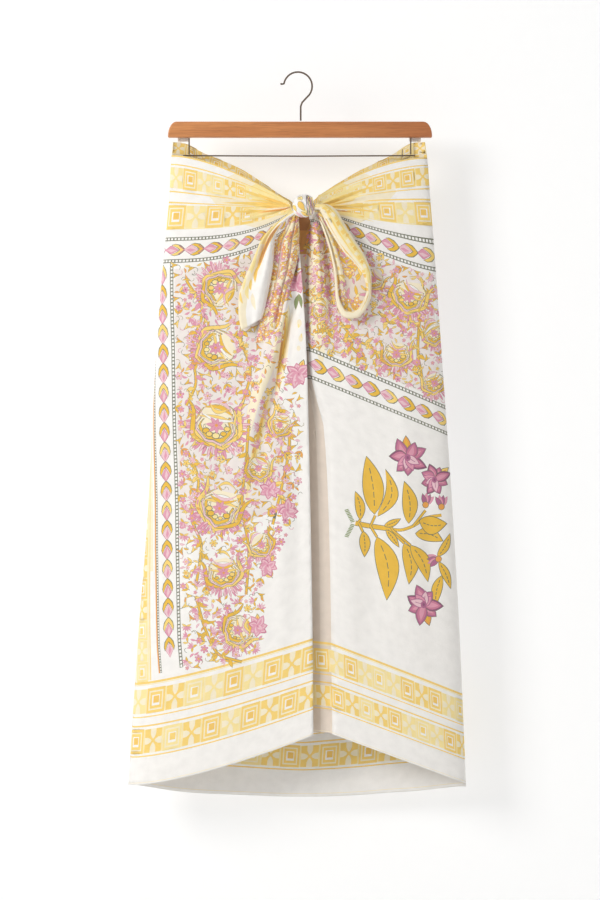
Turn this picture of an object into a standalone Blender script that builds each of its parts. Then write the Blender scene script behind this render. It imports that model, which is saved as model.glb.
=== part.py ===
"""A printed cotton sarong, sewn as a tube, slung on a wooden trouser hanger.

Metres, +Z up, +X to the viewer's right, the front faces -Y.  The origin is the point inside
the hook's crown that rests on a rail, so a height is written as a drop below that point.
The cloth is a flattened tube.  Its front is gathered into a knot at the centre, from which a
folded tail, two drapes and a loop hang.
"""
import math
from collections import namedtuple

import bmesh
import bpy
from mathutils import Vector

# ---- driving dimensions -----------------------------------------------------------------
WALL = 0.0014            # thickness of the cloth walls
GAP = 0.0006             # space left between one piece and the next

BAR_LENGTH = 0.380       # wooden bar of the hanger
BAR_TOP = 0.0712         # drop of the bar's top face
BAR_HEIGHT = 0.0225
BAR_DEPTH = 0.014
BAR_CORNER = 0.0125      # rounding of the bar's two upper corners
MID_X = 0.0030           # the bar's middle, a little to one side of the hook's crown

HOOK_WIRE = 0.0026
RAIL_WIRE = 0.0021
RAIL_DROP = 0.1196
POST_LEFT = -0.1566
POST_RIGHT = 0.1624
RAIL_OVERHANG = 0.0090   # how far the rail runs past each post

TAPE_WIDTH = 0.0165
TAPE_WALL = 0.0012

KNOT_CENTRE = Vector((0.0083, -0.0340, -0.1926))
KNOT_SIZE = Vector((0.0325, 0.0300, 0.0345))
KNOT_SLANT = math.radians(28.0)

CORNER_POWER = 3.2       # how squarely the flattened tube turns at its sides
PLEAT_SET_BACK = 0.0100  # the centre pleat lies this far behind the fronts

# ---- tables: one row for each section or thread line --------------------------------------
Side = namedtuple("Side", "drop left right depth")
SIDES = (
    Side(0.0980, -0.1800, 0.1828, 0.0125),
    Side(0.1320, -0.1830, 0.1872, 0.0140),
    Side(0.1750, -0.1850, 0.1901, 0.0160),
    Side(0.2333, -0.1901, 0.1948, 0.0190),
    Side(0.3269, -0.1987, 0.2016, 0.0230),
    Side(0.4700, -0.2080, 0.2117, 0.0280),
    Side(0.6149, -0.2150, 0.2218, 0.0325),
    Side(0.8165, -0.2304, 0.2333, 0.0375),
    Side(1.0480, -0.2455, 0.2430, 0.0420),
)

# A thread line starts at the side at side_drop and ends at the centre at (end_x, end_drop).
# bend is the power of its rise: 1 is straight, more stays level longer before it turns.
# lift is how far its end stands forward of the flattened tube, out to the knot.
Thread = namedtuple("Thread", "side_drop end_x end_drop bend lift")
LEFT_THREADS = (
    Thread(0.1190, -0.0130, 0.1886, 1.60, 0.0125),
    Thread(0.1714, -0.0101, 0.1940, 1.00, 0.0125),
    Thread(0.1872, -0.0098, 0.1960, 0.80, 0.0125),
    Thread(0.2261, -0.0086, 0.1985, 3.20, 0.0125),
    Thread(0.2405, -0.0065, 0.2020, 3.00, 0.0125),
    Thread(0.2722, -0.0014, 0.2160, 2.80, 0.0090),
    Thread(0.3269, 0.0029, 0.2640, 2.30, 0.0060),
    Thread(0.4709, 0.0124, 0.4061, 1.80, 0.0045),
    Thread(0.6437, 0.0167, 0.5774, 1.50, 0.0045),
    Thread(0.8798, 0.0209, 0.8136, 1.25, 0.0045),
    Thread(1.0253, 0.0220, 0.9504, 1.40, 0.0045),
)
RIGHT_THREADS = (
    Thread(0.1224, 0.0270, 0.1814, 1.75, 0.0125),
    Thread(0.1678, 0.0284, 0.1886, 1.30, 0.0125),
    Thread(0.1835, 0.0288, 0.1915, 2.00, 0.0125),
    Thread(0.2239, 0.0286, 0.1951, 1.80, 0.0125),
    Thread(0.2462, 0.0272, 0.1994, 1.35, 0.0125),
    Thread(0.2837, 0.0215, 0.2146, 1.35, 0.0080),
    Thread(0.3701, 0.0176, 0.2909, 1.20, 0.0030),
    Thread(0.4824, 0.0165, 0.3989, 1.00, 0.0000),
    Thread(0.5184, 0.0195, 0.4378, 1.00, 0.0000),
    Thread(0.5861, 0.0389, 0.5054, 1.00, 0.0000),
    Thread(0.7589, 0.0461, 0.6797, 0.95, 0.0000),
    Thread(0.8957, 0.0490, 0.8208, 0.95, 0.0000),
    Thread(1.0231, 0.0490, 0.9490, 0.95, 0.0000),
)

# The back's waist edge and hem, from side to side.
Edge = namedtuple("Edge", "x waist_drop hem_drop")
BACK_EDGES = (
    Edge(-0.2450, 0.0994, 1.0253),
    Edge(-0.1700, 0.1000, 1.0395),
    Edge(-0.1354, 0.1152, 1.0425),
    Edge(-0.0835, 0.1368, 1.0450),
    Edge(-0.0187, 0.1786, 1.0474),
    Edge(0.0070, 0.1930, 1.0476),
    Edge(0.0346, 0.1728, 1.0474),
    Edge(0.0893, 0.1397, 1.0450),
    Edge(0.1296, 0.1210, 1.0415),
    Edge(0.1700, 0.1000, 1.0385),
    Edge(0.2430, 0.0994, 1.0280),
)

# A ribbon's row goes from its left edge to its right edge.  front is how far in front of
# the hanger's middle plane its edges lie, and crown is how far its middle stands forward.
Row = namedtuple("Row", "left_x left_drop right_x right_drop front crown")
LEFT_TAIL = (
    Row(-0.0130, 0.1975, -0.0095, 0.2050, 0.0400, 0.0015),
    Row(-0.0317, 0.2203, -0.0202, 0.2189, 0.0440, 0.0010),
    Row(-0.0511, 0.2419, -0.0331, 0.2448, 0.0460, -0.0020),
    Row(-0.0662, 0.2765, -0.0346, 0.2722, 0.0460, -0.0050),
    Row(-0.0778, 0.3024, -0.0382, 0.2981, 0.0450, -0.0060),
    Row(-0.0850, 0.3269, -0.0432, 0.3225, 0.0430, -0.0050),
    Row(-0.0850, 0.3485, -0.0475, 0.3442, 0.0410, -0.0030),
    Row(-0.0812, 0.3715, -0.0511, 0.3557, 0.0390, -0.0015),
)
LEFT_DRAPE = (
    Row(-0.0080, 0.2105, 0.0000, 0.2105, 0.0340, 0.0050),
    Row(-0.0187, 0.2275, 0.0022, 0.2275, 0.0330, 0.0080),
    Row(-0.0317, 0.2477, 0.0022, 0.2506, 0.0320, 0.0095),
    Row(-0.0360, 0.2866, -0.0030, 0.2851, 0.0325, 0.0095),
    Row(-0.0403, 0.3154, -0.0125, 0.3154, 0.0335, 0.0080),
    Row(-0.0518, 0.3485, -0.0170, 0.3485, 0.0345, 0.0060),
    Row(-0.0605, 0.3845, -0.0216, 0.3845, 0.0350, 0.0030),
)
RIGHT_DRAPE = (
    Row(0.0215, 0.2105, 0.0300, 0.2040, 0.0330, 0.0050),
    Row(0.0172, 0.2290, 0.0418, 0.2290, 0.0305, 0.0080),
    Row(0.0156, 0.2621, 0.0504, 0.2621, 0.0290, 0.0090),
    Row(0.0173, 0.2952, 0.0543, 0.2952, 0.0290, 0.0090),
    Row(0.0194, 0.3298, 0.0547, 0.3298, 0.0290, 0.0075),
    Row(0.0187, 0.3701, 0.0562, 0.3701, 0.0290, 0.0045),
    Row(0.0165, 0.4090, 0.0562, 0.4090, 0.0290, 0.0020),
)
LOOP_INSIDE = (
    Row(0.0290, 0.2060, 0.0330, 0.2040, 0.0440, 0.0010),
    Row(0.0360, 0.2230, 0.0490, 0.2180, 0.0410, 0.0000),
    Row(0.0440, 0.2450, 0.0690, 0.2430, 0.0420, -0.0030),
    Row(0.0520, 0.2750, 0.0850, 0.2750, 0.0420, -0.0050),
    Row(0.0562, 0.3060, 0.0960, 0.3060, 0.0420, -0.0060),
    Row(0.0560, 0.3300, 0.0940, 0.3300, 0.0420, -0.0050),
    Row(0.0600, 0.3440, 0.0860, 0.3440, 0.0420, -0.0020),
)

# The loop's wall, round its mouth: the outer edge is its outline, the rim stands forward.
Rim = namedtuple("Rim", "outer_x outer_drop rim_x rim_drop")
LOOP_WALL = (
    Rim(0.0285, 0.1935, 0.0270, 0.2030),
    Rim(0.0420, 0.1972, 0.0325, 0.2060),
    Rim(0.0583, 0.2074, 0.0425, 0.2190),
    Rim(0.0786, 0.2369, 0.0580, 0.2430),
    Rim(0.0942, 0.2693, 0.0790, 0.2680),
    Rim(0.1040, 0.3010, 0.0905, 0.3010),
    Rim(0.1051, 0.3225, 0.0905, 0.3210),
    Rim(0.0942, 0.3442, 0.0840, 0.3355),
    Rim(0.0786, 0.3557, 0.0750, 0.3440),
    Rim(0.0640, 0.3520, 0.0660, 0.3420),
    Rim(0.0545, 0.3400, 0.0600, 0.3300),
)
LOOP_BACK = 0.0430       # how far forward the wall's outer edge lies
LOOP_FRONT = 0.0530      # how far forward its rim lies

# Mesh steps of each piece: along its length, and across it.
FRONT_STEPS = (30, 14)
BACK_STEPS = (20, 22)
RIBBON_STEPS = (16, 6)

COLOURS = {
    "cotton": (0.90, 0.86, 0.80),
    "cotton_border": (0.93, 0.80, 0.45),
    "tape": (0.94, 0.93, 0.91),
    "wood": (0.52, 0.22, 0.09),
    "steel": (0.30, 0.28, 0.26),
}


def clear_scene():
    for item in list(bpy.data.objects):
        bpy.data.objects.remove(item, do_unlink=True)


def finish(name, rgb, roughness=0.85, metallic=0.0):
    """A Principled material of the piece's own."""
    material = bpy.data.materials.new(name)
    material.use_nodes = True
    shader = material.node_tree.nodes["Principled BSDF"]
    shader.inputs["Base Color"].default_value = (*rgb, 1.0)
    shader.inputs["Roughness"].default_value = roughness
    shader.inputs["Metallic"].default_value = metallic
    return material


def add_object(name, mesh, colour, roughness=0.85, metallic=0.0, sharp_angle=50.0):
    piece = bpy.data.objects.new(name, mesh)
    bpy.context.collection.objects.link(piece)
    mesh.materials.append(finish(name + "_finish", COLOURS[colour], roughness, metallic))
    if hasattr(mesh, "shade_smooth"):
        mesh.shade_smooth()
        mesh.set_sharp_from_angle(angle=math.radians(sharp_angle))
    return piece


def along(table, key, column, value):
    """Read a column of a table at a value of its key column, on a smooth monotone curve."""
    xs = [getattr(row, key) for row in table]
    ys = [getattr(row, column) for row in table]
    value = min(max(value, xs[0]), xs[-1])
    i = max(k for k in range(len(xs) - 1) if xs[k] <= value)
    steps = [(ys[k + 1] - ys[k]) / (xs[k + 1] - xs[k]) for k in range(len(xs) - 1)]

    def slope(k):
        if k == 0 or k == len(xs) - 1:
            return steps[min(k, len(steps) - 1)]
        before, after = steps[k - 1], steps[k]
        if before * after <= 0.0:
            return 0.0
        return 2.0 * before * after / (before + after)

    width = xs[i + 1] - xs[i]
    t = (value - xs[i]) / width
    return ((2 * t**3 - 3 * t**2 + 1) * ys[i] + (t**3 - 2 * t**2 + t) * width * slope(i)
            + (3 * t**2 - 2 * t**3) * ys[i + 1] + (t**3 - t**2) * width * slope(i + 1))


def tube_depth(x, drop):
    """Half the depth of the flattened tube where it is x across, rounded at its sides."""
    left = along(SIDES, "drop", "left", drop)
    right = along(SIDES, "drop", "right", drop)
    across = min(1.0, abs(2.0 * (x - left) / (right - left) - 1.0))
    return along(SIDES, "drop", "depth", drop) * (1.0 - across**CORNER_POWER) ** 0.5


def inward(x, drop, at_side):
    """The unit direction, across and in depth, from the tube's wall towards its hollow."""
    if at_side:
        return (-math.copysign(1.0, x), 0.0)
    reach = 0.0004
    slope = (tube_depth(x + reach, drop) - tube_depth(x - reach, drop)) / (2.0 * reach)
    length = math.hypot(slope, 1.0)
    return (slope / length, 1.0 / length)


def walled(name, outer, inner, colour):
    """A closed wall between two grids of the same size, its rim closed all round."""
    form = bmesh.new()
    skins = [[[form.verts.new(point) for point in row] for row in grid]
             for grid in (outer, inner)]
    for skin in skins:
        for lower, upper in zip(skin, skin[1:]):
            for i in range(len(lower) - 1):
                form.faces.new((lower[i], lower[i + 1], upper[i + 1], upper[i]))
    rims = [skin[0] + [row[-1] for row in skin[1:]] + skin[-1][-2::-1]
            + [row[0] for row in skin[-2:0:-1]] for skin in skins]
    for i in range(len(rims[0])):
        j = (i + 1) % len(rims[0])
        form.faces.new((rims[0][i], rims[0][j], rims[1][j], rims[1][i]))
    bmesh.ops.recalc_face_normals(form, faces=form.faces[:])
    mesh = bpy.data.meshes.new(name)
    form.to_mesh(mesh)
    form.free()
    return add_object(name, mesh, colour)


def shell(name, rows, colour):
    """A closed wall behind a grid of points that faces the front."""
    form = bmesh.new()
    grid = [[form.verts.new(point) for point in row] for row in rows]
    for lower, upper in zip(grid, grid[1:]):
        for i in range(len(lower) - 1):
            form.faces.new((lower[i], lower[i + 1], upper[i + 1], upper[i]))
    bmesh.ops.recalc_face_normals(form, faces=form.faces[:])
    middle = form.faces[:][len(form.faces) // 2]
    if middle.normal.y > 0.0:
        bmesh.ops.reverse_faces(form, faces=form.faces[:])
    mesh = bpy.data.meshes.new(name)
    form.to_mesh(mesh)
    form.free()
    piece = add_object(name, mesh, colour)
    wall = piece.modifiers.new("Wall", "SOLIDIFY")
    wall.thickness = WALL
    wall.offset = -1.0
    return piece


def front_panel(name, threads, side_column):
    """One half of the front, laid out along its thread lines from the side to the centre."""
    rows_count, columns_count = FRONT_STEPS
    outer, inner = [], []
    for r in range(rows_count + 1):
        # rows lie closer together over the gathered waist
        share = (r / rows_count) ** 1.25
        side_drop = threads[0].side_drop + share * (threads[-1].side_drop - threads[0].side_drop)
        side_x = along(SIDES, "drop", side_column, side_drop)
        end_x = along(threads, "side_drop", "end_x", side_drop)
        end_drop = along(threads, "side_drop", "end_drop", side_drop)
        bend = along(threads, "side_drop", "bend", side_drop)
        lift = along(threads, "side_drop", "lift", side_drop)
        outer_row, inner_row = [], []
        for c in range(columns_count + 1):
            # columns lie closer together where the side turns
            across = 0.35 * (c / columns_count) + 0.65 * (c / columns_count) ** 1.8
            x = side_x + (end_x - side_x) * across
            drop = side_drop + (end_drop - side_drop) * across**bend
            front = tube_depth(x, drop) + GAP / 2.0 + lift * across**6
            aside, behind = inward(x, drop, c == 0)
            outer_row.append(Vector((x, -front, -drop)))
            inner_row.append(Vector((x + WALL * aside, WALL * behind - front, -drop)))
        outer.append(outer_row)
        inner.append(inner_row)
    return walled(name, outer, inner, "cotton")


def back_panel():
    rows_count, columns_count = BACK_STEPS
    outer, inner = [], []
    for r in range(rows_count + 1):
        share = r / rows_count
        outer_row, inner_row = [], []
        for c in range(columns_count + 1):
            across = -math.cos(math.pi * c / columns_count)
            across = 0.55 * across + 0.45 * (2.0 * c / columns_count - 1.0)
            guess = 0.0960 + share * 0.95
            for _ in range(3):
                left = along(SIDES, "drop", "left", guess)
                right = along(SIDES, "drop", "right", guess)
                x = (left + right) / 2.0 + across * (right - left) / 2.0
                waist = along(BACK_EDGES, "x", "waist_drop", x)
                hem = along(BACK_EDGES, "x", "hem_drop", x)
                guess = waist + share * (hem - waist)
            back = tube_depth(x, guess) + GAP / 2.0
            aside, behind = inward(x, guess, c in (0, columns_count))
            outer_row.append(Vector((x, back, -guess)))
            inner_row.append(Vector((x + WALL * aside, back - WALL * behind, -guess)))
        outer.append(outer_row)
        inner.append(inner_row)
    return walled("back_panel", outer, inner, "cotton")


def centre_pleat():
    """The stretch between the two fronts, set back, from under the knot to its own hem."""
    top_drop, hem_drop = 0.2180, 0.9430
    rows_count, columns_count = 20, 4
    rows = []
    for r in range(rows_count + 1):
        drop = top_drop + r / rows_count * (hem_drop - top_drop)
        left_end = along(LEFT_THREADS, "end_drop", "end_x", drop)
        right_end = along(RIGHT_THREADS, "end_drop", "end_x", drop)
        row = []
        for c in range(columns_count + 1):
            across = c / columns_count
            x = left_end - 0.012 + across * (right_end - left_end + 0.018)
            fall = 0.0030 * across
            row.append(Vector((x, -tube_depth(x, drop) + PLEAT_SET_BACK, -drop - fall)))
        rows.append(row)
    return shell("centre_pleat", rows, "cotton")


def ribbon(name, table, colour="cotton"):
    """A stretch of cloth that hangs from the knot, from one table of its rows."""
    rows_count, columns_count = RIBBON_STEPS
    stations = [namedtuple("Station", ("at",) + Row._fields)(k, *row)
                for k, row in enumerate(table)]
    rows = []
    for r in range(rows_count + 1):
        at = r / rows_count * (len(table) - 1)
        left_x, left_drop, right_x, right_drop, front, crown = (
            along(stations, "at", column, at) for column in Row._fields)
        row = []
        for c in range(columns_count + 1):
            across = c / columns_count
            bulge = crown * math.sin(math.pi * across)
            row.append(Vector((left_x + across * (right_x - left_x), -front - bulge,
                               -left_drop - across * (right_drop - left_drop))))
        rows.append(row)
    return shell(name, rows, colour)


def loop_wall():
    """The wall round the loop's mouth, leaning forward from its outline to its rim."""
    stations = [namedtuple("Station", ("at",) + Rim._fields)(k, *row)
                for k, row in enumerate(LOOP_WALL)]
    steps = 3 * (len(LOOP_WALL) - 1)
    rows = []
    for r in range(steps + 1):
        at = r / steps * (len(LOOP_WALL) - 1)
        outer_x, outer_drop, rim_x, rim_drop = (
            along(stations, "at", column, at) for column in Rim._fields)
        row = []
        for c in range(4):
            across = c / 3.0
            front = LOOP_BACK + (LOOP_FRONT - LOOP_BACK) * math.sin(across * math.pi / 2.0)
            row.append(Vector((outer_x + across * (rim_x - outer_x), -front,
                               -outer_drop - across * (rim_drop - outer_drop))))
        rows.append(row)
    return shell("right_loop", rows, "cotton_border")


def knot():
    """A rounded knot with slanting grooves between its wraps."""
    form = bmesh.new()
    bmesh.ops.create_uvsphere(form, u_segments=20, v_segments=12, radius=0.5)
    for vert in form.verts:
        along_slant = vert.co.x * math.cos(KNOT_SLANT) + vert.co.z * math.sin(KNOT_SLANT)
        groove = 1.0 - 0.05 * math.cos(along_slant * 14.0)
        vert.co = Vector((vert.co.x * KNOT_SIZE.x, vert.co.y * KNOT_SIZE.y,
                          vert.co.z * KNOT_SIZE.z)) * groove * 0.95 + KNOT_CENTRE
    mesh = bpy.data.meshes.new("knot")
    form.to_mesh(mesh)
    form.free()
    return add_object("knot", mesh, "cotton")


def hanger_bar():
    """The bar's outline with two rounded upper corners, extruded through its depth."""
    half = BAR_LENGTH / 2.0
    outline = [(-half, -BAR_TOP - BAR_HEIGHT), (half, -BAR_TOP - BAR_HEIGHT)]
    lift = BAR_HEIGHT - 0.0015
    for k in range(9):
        turn = math.radians(90.0 * k / 8.0)
        outline.append((half - BAR_CORNER * (1.0 - math.cos(turn)),
                        -BAR_TOP - lift * (1.0 - math.sin(turn))))
    for k in range(9):
        turn = math.radians(90.0 * (8 - k) / 8.0)
        outline.append((-half + BAR_CORNER * (1.0 - math.cos(turn)),
                        -BAR_TOP - lift * (1.0 - math.sin(turn))))
    form = bmesh.new()
    front = [form.verts.new((MID_X + x, -BAR_DEPTH / 2.0, z)) for x, z in outline]
    face = form.faces.new(front)
    swept = bmesh.ops.extrude_face_region(form, geom=[face])
    moved = [item for item in swept["geom"] if isinstance(item, bmesh.types.BMVert)]
    bmesh.ops.translate(form, verts=moved, vec=(0.0, BAR_DEPTH, 0.0))
    bmesh.ops.recalc_face_normals(form, faces=form.faces[:])
    mesh = bpy.data.meshes.new("hanger_bar")
    form.to_mesh(mesh)
    form.free()
    piece = add_object("hanger_bar", mesh, "wood", 0.45, sharp_angle=30.0)
    edges = piece.modifiers.new("Eased edges", "BEVEL")
    edges.width = 0.0012
    edges.segments = 2
    edges.limit_method = "ANGLE"
    edges.angle_limit = math.radians(50.0)
    return piece


def wire(name, points, diameter, resolution=3):
    """A round wire along a few points, with its ends closed."""
    curve = bpy.data.curves.new(name, "CURVE")
    curve.dimensions = "3D"
    curve.bevel_depth = diameter / 2.0
    curve.bevel_resolution = resolution
    curve.use_fill_caps = True
    spline = curve.splines.new("POLY")
    spline.points.add(len(points) - 1)
    for slot, point in zip(spline.points, points):
        slot.co = (*point, 1.0)
    return add_object(name, curve, "steel", 0.35, 1.0)


def hanger_hook():
    """The stem out of the bar, an S bend, and the crown that goes over a rail."""
    radius = 0.0205
    centre = Vector((0.0, 0.0, -radius - 0.0005))
    points = [Vector((MID_X + 0.0010, 0.0, -BAR_TOP + GAP)),
              Vector((MID_X + 0.0010, 0.0, -0.0500)),
              Vector((MID_X + 0.0030, 0.0, -0.0445)),
              Vector((MID_X + 0.0080, 0.0, -0.0390))]
    for k in range(19):
        turn = math.radians(-38.0 + 208.0 * k / 18.0)
        points.append(centre + Vector((math.cos(turn), 0.0, math.sin(turn))) * radius)
    points.append(Vector((-0.0232, 0.0, -0.0180)))
    points.append(Vector((-0.0252, 0.0, -0.0172)))
    lowered = Vector((0.0, 0.0, HOOK_WIRE / 2.0))
    return wire("hanger_hook", [point + lowered for point in points], HOOK_WIRE)


def rail_and_posts():
    wire("rail_wire", [(POST_LEFT - RAIL_OVERHANG, 0.0, -RAIL_DROP),
                       (MID_X, 0.0, -RAIL_DROP - 0.0008),
                       (POST_RIGHT + RAIL_OVERHANG * 0.7, 0.0, -RAIL_DROP)], RAIL_WIRE)
    for name, x in (("left_post", POST_LEFT), ("right_post", POST_RIGHT)):
        wire(name, [(x, 0.0, -BAR_TOP - BAR_HEIGHT - GAP),
                    (x, 0.0, -RAIL_DROP + RAIL_WIRE / 2.0 + GAP)], RAIL_WIRE)


def hanging_tape(name, x):
    """A flat tape from behind the bar down to the waist edge of the back."""
    top, bottom = BAR_TOP + 0.004, BACK_EDGES[0].waist_drop - GAP
    rear = BAR_DEPTH / 2.0 + GAP
    form = bmesh.new()
    bmesh.ops.create_cube(form, size=1.0)
    bmesh.ops.scale(form, verts=form.verts, vec=(TAPE_WIDTH, TAPE_WALL, bottom - top))
    bmesh.ops.translate(form, verts=form.verts,
                        vec=(x, rear + TAPE_WALL / 2.0, -(top + bottom) / 2.0))
    mesh = bpy.data.meshes.new(name)
    form.to_mesh(mesh)
    form.free()
    add_object(name, mesh, "tape")


def build():
    clear_scene()
    front_panel("front_left_panel", LEFT_THREADS, "left")
    front_panel("front_right_panel", RIGHT_THREADS, "right")
    back_panel()
    centre_pleat()
    ribbon("left_tail", LEFT_TAIL)
    ribbon("left_drape", LEFT_DRAPE)
    ribbon("right_drape", RIGHT_DRAPE)
    ribbon("loop_inside", LOOP_INSIDE)
    loop_wall()
    knot()
    hanger_bar()
    hanger_hook()
    rail_and_posts()
    hanging_tape("left_tape", -0.1650)
    hanging_tape("right_tape", 0.1690)


build()
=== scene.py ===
# %% [markdown]
# # A front-knotted printed sarong on a trouser hanger
# A sarong is one printed cotton length sewn into a tube.  Here its waist is slung at both ends of
# a wooden trouser hanger and the spare cloth is knotted at the front.  The lesson works as a
# maker would: it reads the frame, cuts each stretch of cloth flat with its print on it, hangs the
# stretch on the form of its CAD solid, and then finishes the cloth, the wood and the wire.

# %% Load the frame
import math
import random
from collections import namedtuple

import bmesh
import bpy
import numpy as np
from mathutils import Matrix, Vector
from mathutils.geometry import delaunay_2d_cdt


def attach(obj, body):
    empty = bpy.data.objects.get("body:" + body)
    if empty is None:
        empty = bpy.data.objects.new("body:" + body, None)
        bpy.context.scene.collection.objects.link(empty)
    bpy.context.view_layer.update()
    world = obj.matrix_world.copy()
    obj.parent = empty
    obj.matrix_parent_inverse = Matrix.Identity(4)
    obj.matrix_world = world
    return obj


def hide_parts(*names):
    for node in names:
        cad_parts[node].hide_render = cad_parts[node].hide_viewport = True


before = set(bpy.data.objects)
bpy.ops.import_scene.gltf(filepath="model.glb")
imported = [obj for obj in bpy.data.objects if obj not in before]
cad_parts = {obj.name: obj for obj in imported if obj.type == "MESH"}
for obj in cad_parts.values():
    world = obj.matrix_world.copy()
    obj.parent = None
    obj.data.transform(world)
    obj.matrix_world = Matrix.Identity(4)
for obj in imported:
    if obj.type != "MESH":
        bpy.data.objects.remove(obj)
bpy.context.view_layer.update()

# %% [markdown]
# ## The camera
# The garment is seen straight on.  A long lens some metres away keeps its sides upright.  The
# camera comes first, because everything else is judged through it.

# %% Place the camera
VIEW_HEIGHT = 1.296      # height of the view at the garment
VIEW_MIDDLE = Vector((0.0030, 0.0, -0.5435))
CAMERA_DISTANCE = 4.2
SENSOR = 36.0

camera_data = bpy.data.cameras.new("camera")
camera_data.sensor_width = SENSOR
camera_data.lens = SENSOR * CAMERA_DISTANCE / VIEW_HEIGHT
camera = bpy.data.objects.new("camera", camera_data)
bpy.context.scene.collection.objects.link(camera)
camera.location = VIEW_MIDDLE + Vector((0.0, -CAMERA_DISTANCE, 0.0))
camera.rotation_euler = (math.radians(90.0), 0.0, 0.0)
bpy.context.scene.camera = camera
print("lens", round(camera_data.lens, 1), "mm")

# %% [markdown]
# ## The form that the cloth hangs on
# The frame holds a flattened tube.  A few rows give its sides and its depth at each drop below
# the hook, and a few thread lines say how the woven rows run from a side to the centre, where
# the knot pulls them up.  A table with named columns is easier to change than a mesh, and a
# smooth reader turns its few rows into any number of points.

# %% Tables of the tube and its thread lines
Side = namedtuple("Side", "drop left right depth")
SIDES = (
    Side(0.0980, -0.1800, 0.1828, 0.0125),
    Side(0.1320, -0.1830, 0.1872, 0.0140),
    Side(0.1750, -0.1850, 0.1901, 0.0160),
    Side(0.2333, -0.1901, 0.1948, 0.0190),
    Side(0.3269, -0.1987, 0.2016, 0.0230),
    Side(0.4700, -0.2080, 0.2117, 0.0280),
    Side(0.6149, -0.2150, 0.2218, 0.0325),
    Side(0.8165, -0.2304, 0.2333, 0.0375),
    Side(1.0480, -0.2455, 0.2430, 0.0420),
)
CORNER_POWER = 3.2

# v is the distance down the cloth from its waist edge.  end is where the row meets the centre,
# tuck how far it runs on behind the left front, bend the power of its rise, lift how far its
# end stands forward to the knot, and gather the share of extra cloth crowded in near the knot.
Thread = namedtuple("Thread", "v side_drop end_x end_drop tuck bend lift gather")
LEFT_THREADS = (
    Thread(0.0000, 0.1190, -0.0130, 0.1886, 0.0, 1.60, 0.0125, 0.50),
    Thread(0.0528, 0.1714, -0.0101, 0.1940, 0.0, 1.00, 0.0125, 0.50),
    Thread(0.0680, 0.1872, -0.0098, 0.1960, 0.0, 0.80, 0.0125, 0.50),
    Thread(0.1073, 0.2261, -0.0086, 0.1985, 0.0, 3.20, 0.0125, 0.45),
    Thread(0.1225, 0.2405, -0.0065, 0.2020, 0.0, 3.00, 0.0125, 0.40),
    Thread(0.1528, 0.2722, -0.0014, 0.2160, 0.0, 2.80, 0.0090, 0.30),
    Thread(0.2080, 0.3269, 0.0029, 0.2640, 0.0, 2.30, 0.0060, 0.15),
    Thread(0.3520, 0.4709, 0.0124, 0.4061, 0.0, 1.80, 0.0045, 0.05),
    Thread(0.5250, 0.6437, 0.0167, 0.5774, 0.0, 1.50, 0.0045, 0.00),
    Thread(0.7610, 0.8798, 0.0209, 0.8136, 0.0, 1.25, 0.0045, 0.00),
    Thread(0.9065, 1.0253, 0.0220, 0.9504, 0.0, 1.40, 0.0045, 0.00),
)
RIGHT_THREADS = (
    Thread(0.0000, 0.1224, 0.0270, 0.1814, 0.0000, 1.75, 0.0125, 0.50),
    Thread(0.0528, 0.1678, 0.0284, 0.1886, 0.0000, 1.30, 0.0125, 0.50),
    Thread(0.0680, 0.1835, 0.0288, 0.1915, 0.0000, 2.00, 0.0125, 0.50),
    Thread(0.1102, 0.2239, 0.0286, 0.1951, 0.0000, 1.80, 0.0125, 0.45),
    Thread(0.1240, 0.2462, 0.0272, 0.1994, 0.0100, 1.35, 0.0125, 0.40),
    Thread(0.1528, 0.2837, 0.0215, 0.2146, 0.0240, 1.35, 0.0080, 0.25),
    Thread(0.2300, 0.3701, 0.0176, 0.2909, 0.0200, 1.20, 0.0030, 0.10),
    Thread(0.3510, 0.4824, 0.0165, 0.3989, 0.0150, 1.00, 0.0000, 0.00),
    Thread(0.3813, 0.5184, 0.0195, 0.4378, 0.0180, 1.00, 0.0000, 0.00),
    Thread(0.4600, 0.5861, 0.0389, 0.5054, 0.0310, 1.00, 0.0000, 0.00),
    Thread(0.6250, 0.7589, 0.0461, 0.6797, 0.0390, 0.95, 0.0000, 0.00),
    Thread(0.7610, 0.8957, 0.0490, 0.8208, 0.0400, 0.95, 0.0000, 0.00),
    Thread(0.9065, 1.0231, 0.0490, 0.9490, 0.0400, 0.95, 0.0000, 0.00),
)
Edge = namedtuple("Edge", "x waist_drop hem_drop")
BACK_EDGES = (
    Edge(-0.2450, 0.0994, 1.0253),
    Edge(-0.1700, 0.1000, 1.0395),
    Edge(-0.1354, 0.1152, 1.0425),
    Edge(-0.0835, 0.1368, 1.0450),
    Edge(-0.0187, 0.1786, 1.0474),
    Edge(0.0070, 0.1930, 1.0476),
    Edge(0.0346, 0.1728, 1.0474),
    Edge(0.0893, 0.1397, 1.0450),
    Edge(0.1296, 0.1210, 1.0415),
    Edge(0.1700, 0.1000, 1.0385),
    Edge(0.2430, 0.0994, 1.0280),
)
CLOTH_LENGTH = LEFT_THREADS[-1].v
print("cloth is", CLOTH_LENGTH, "m from waist edge to hem at the side")


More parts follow.
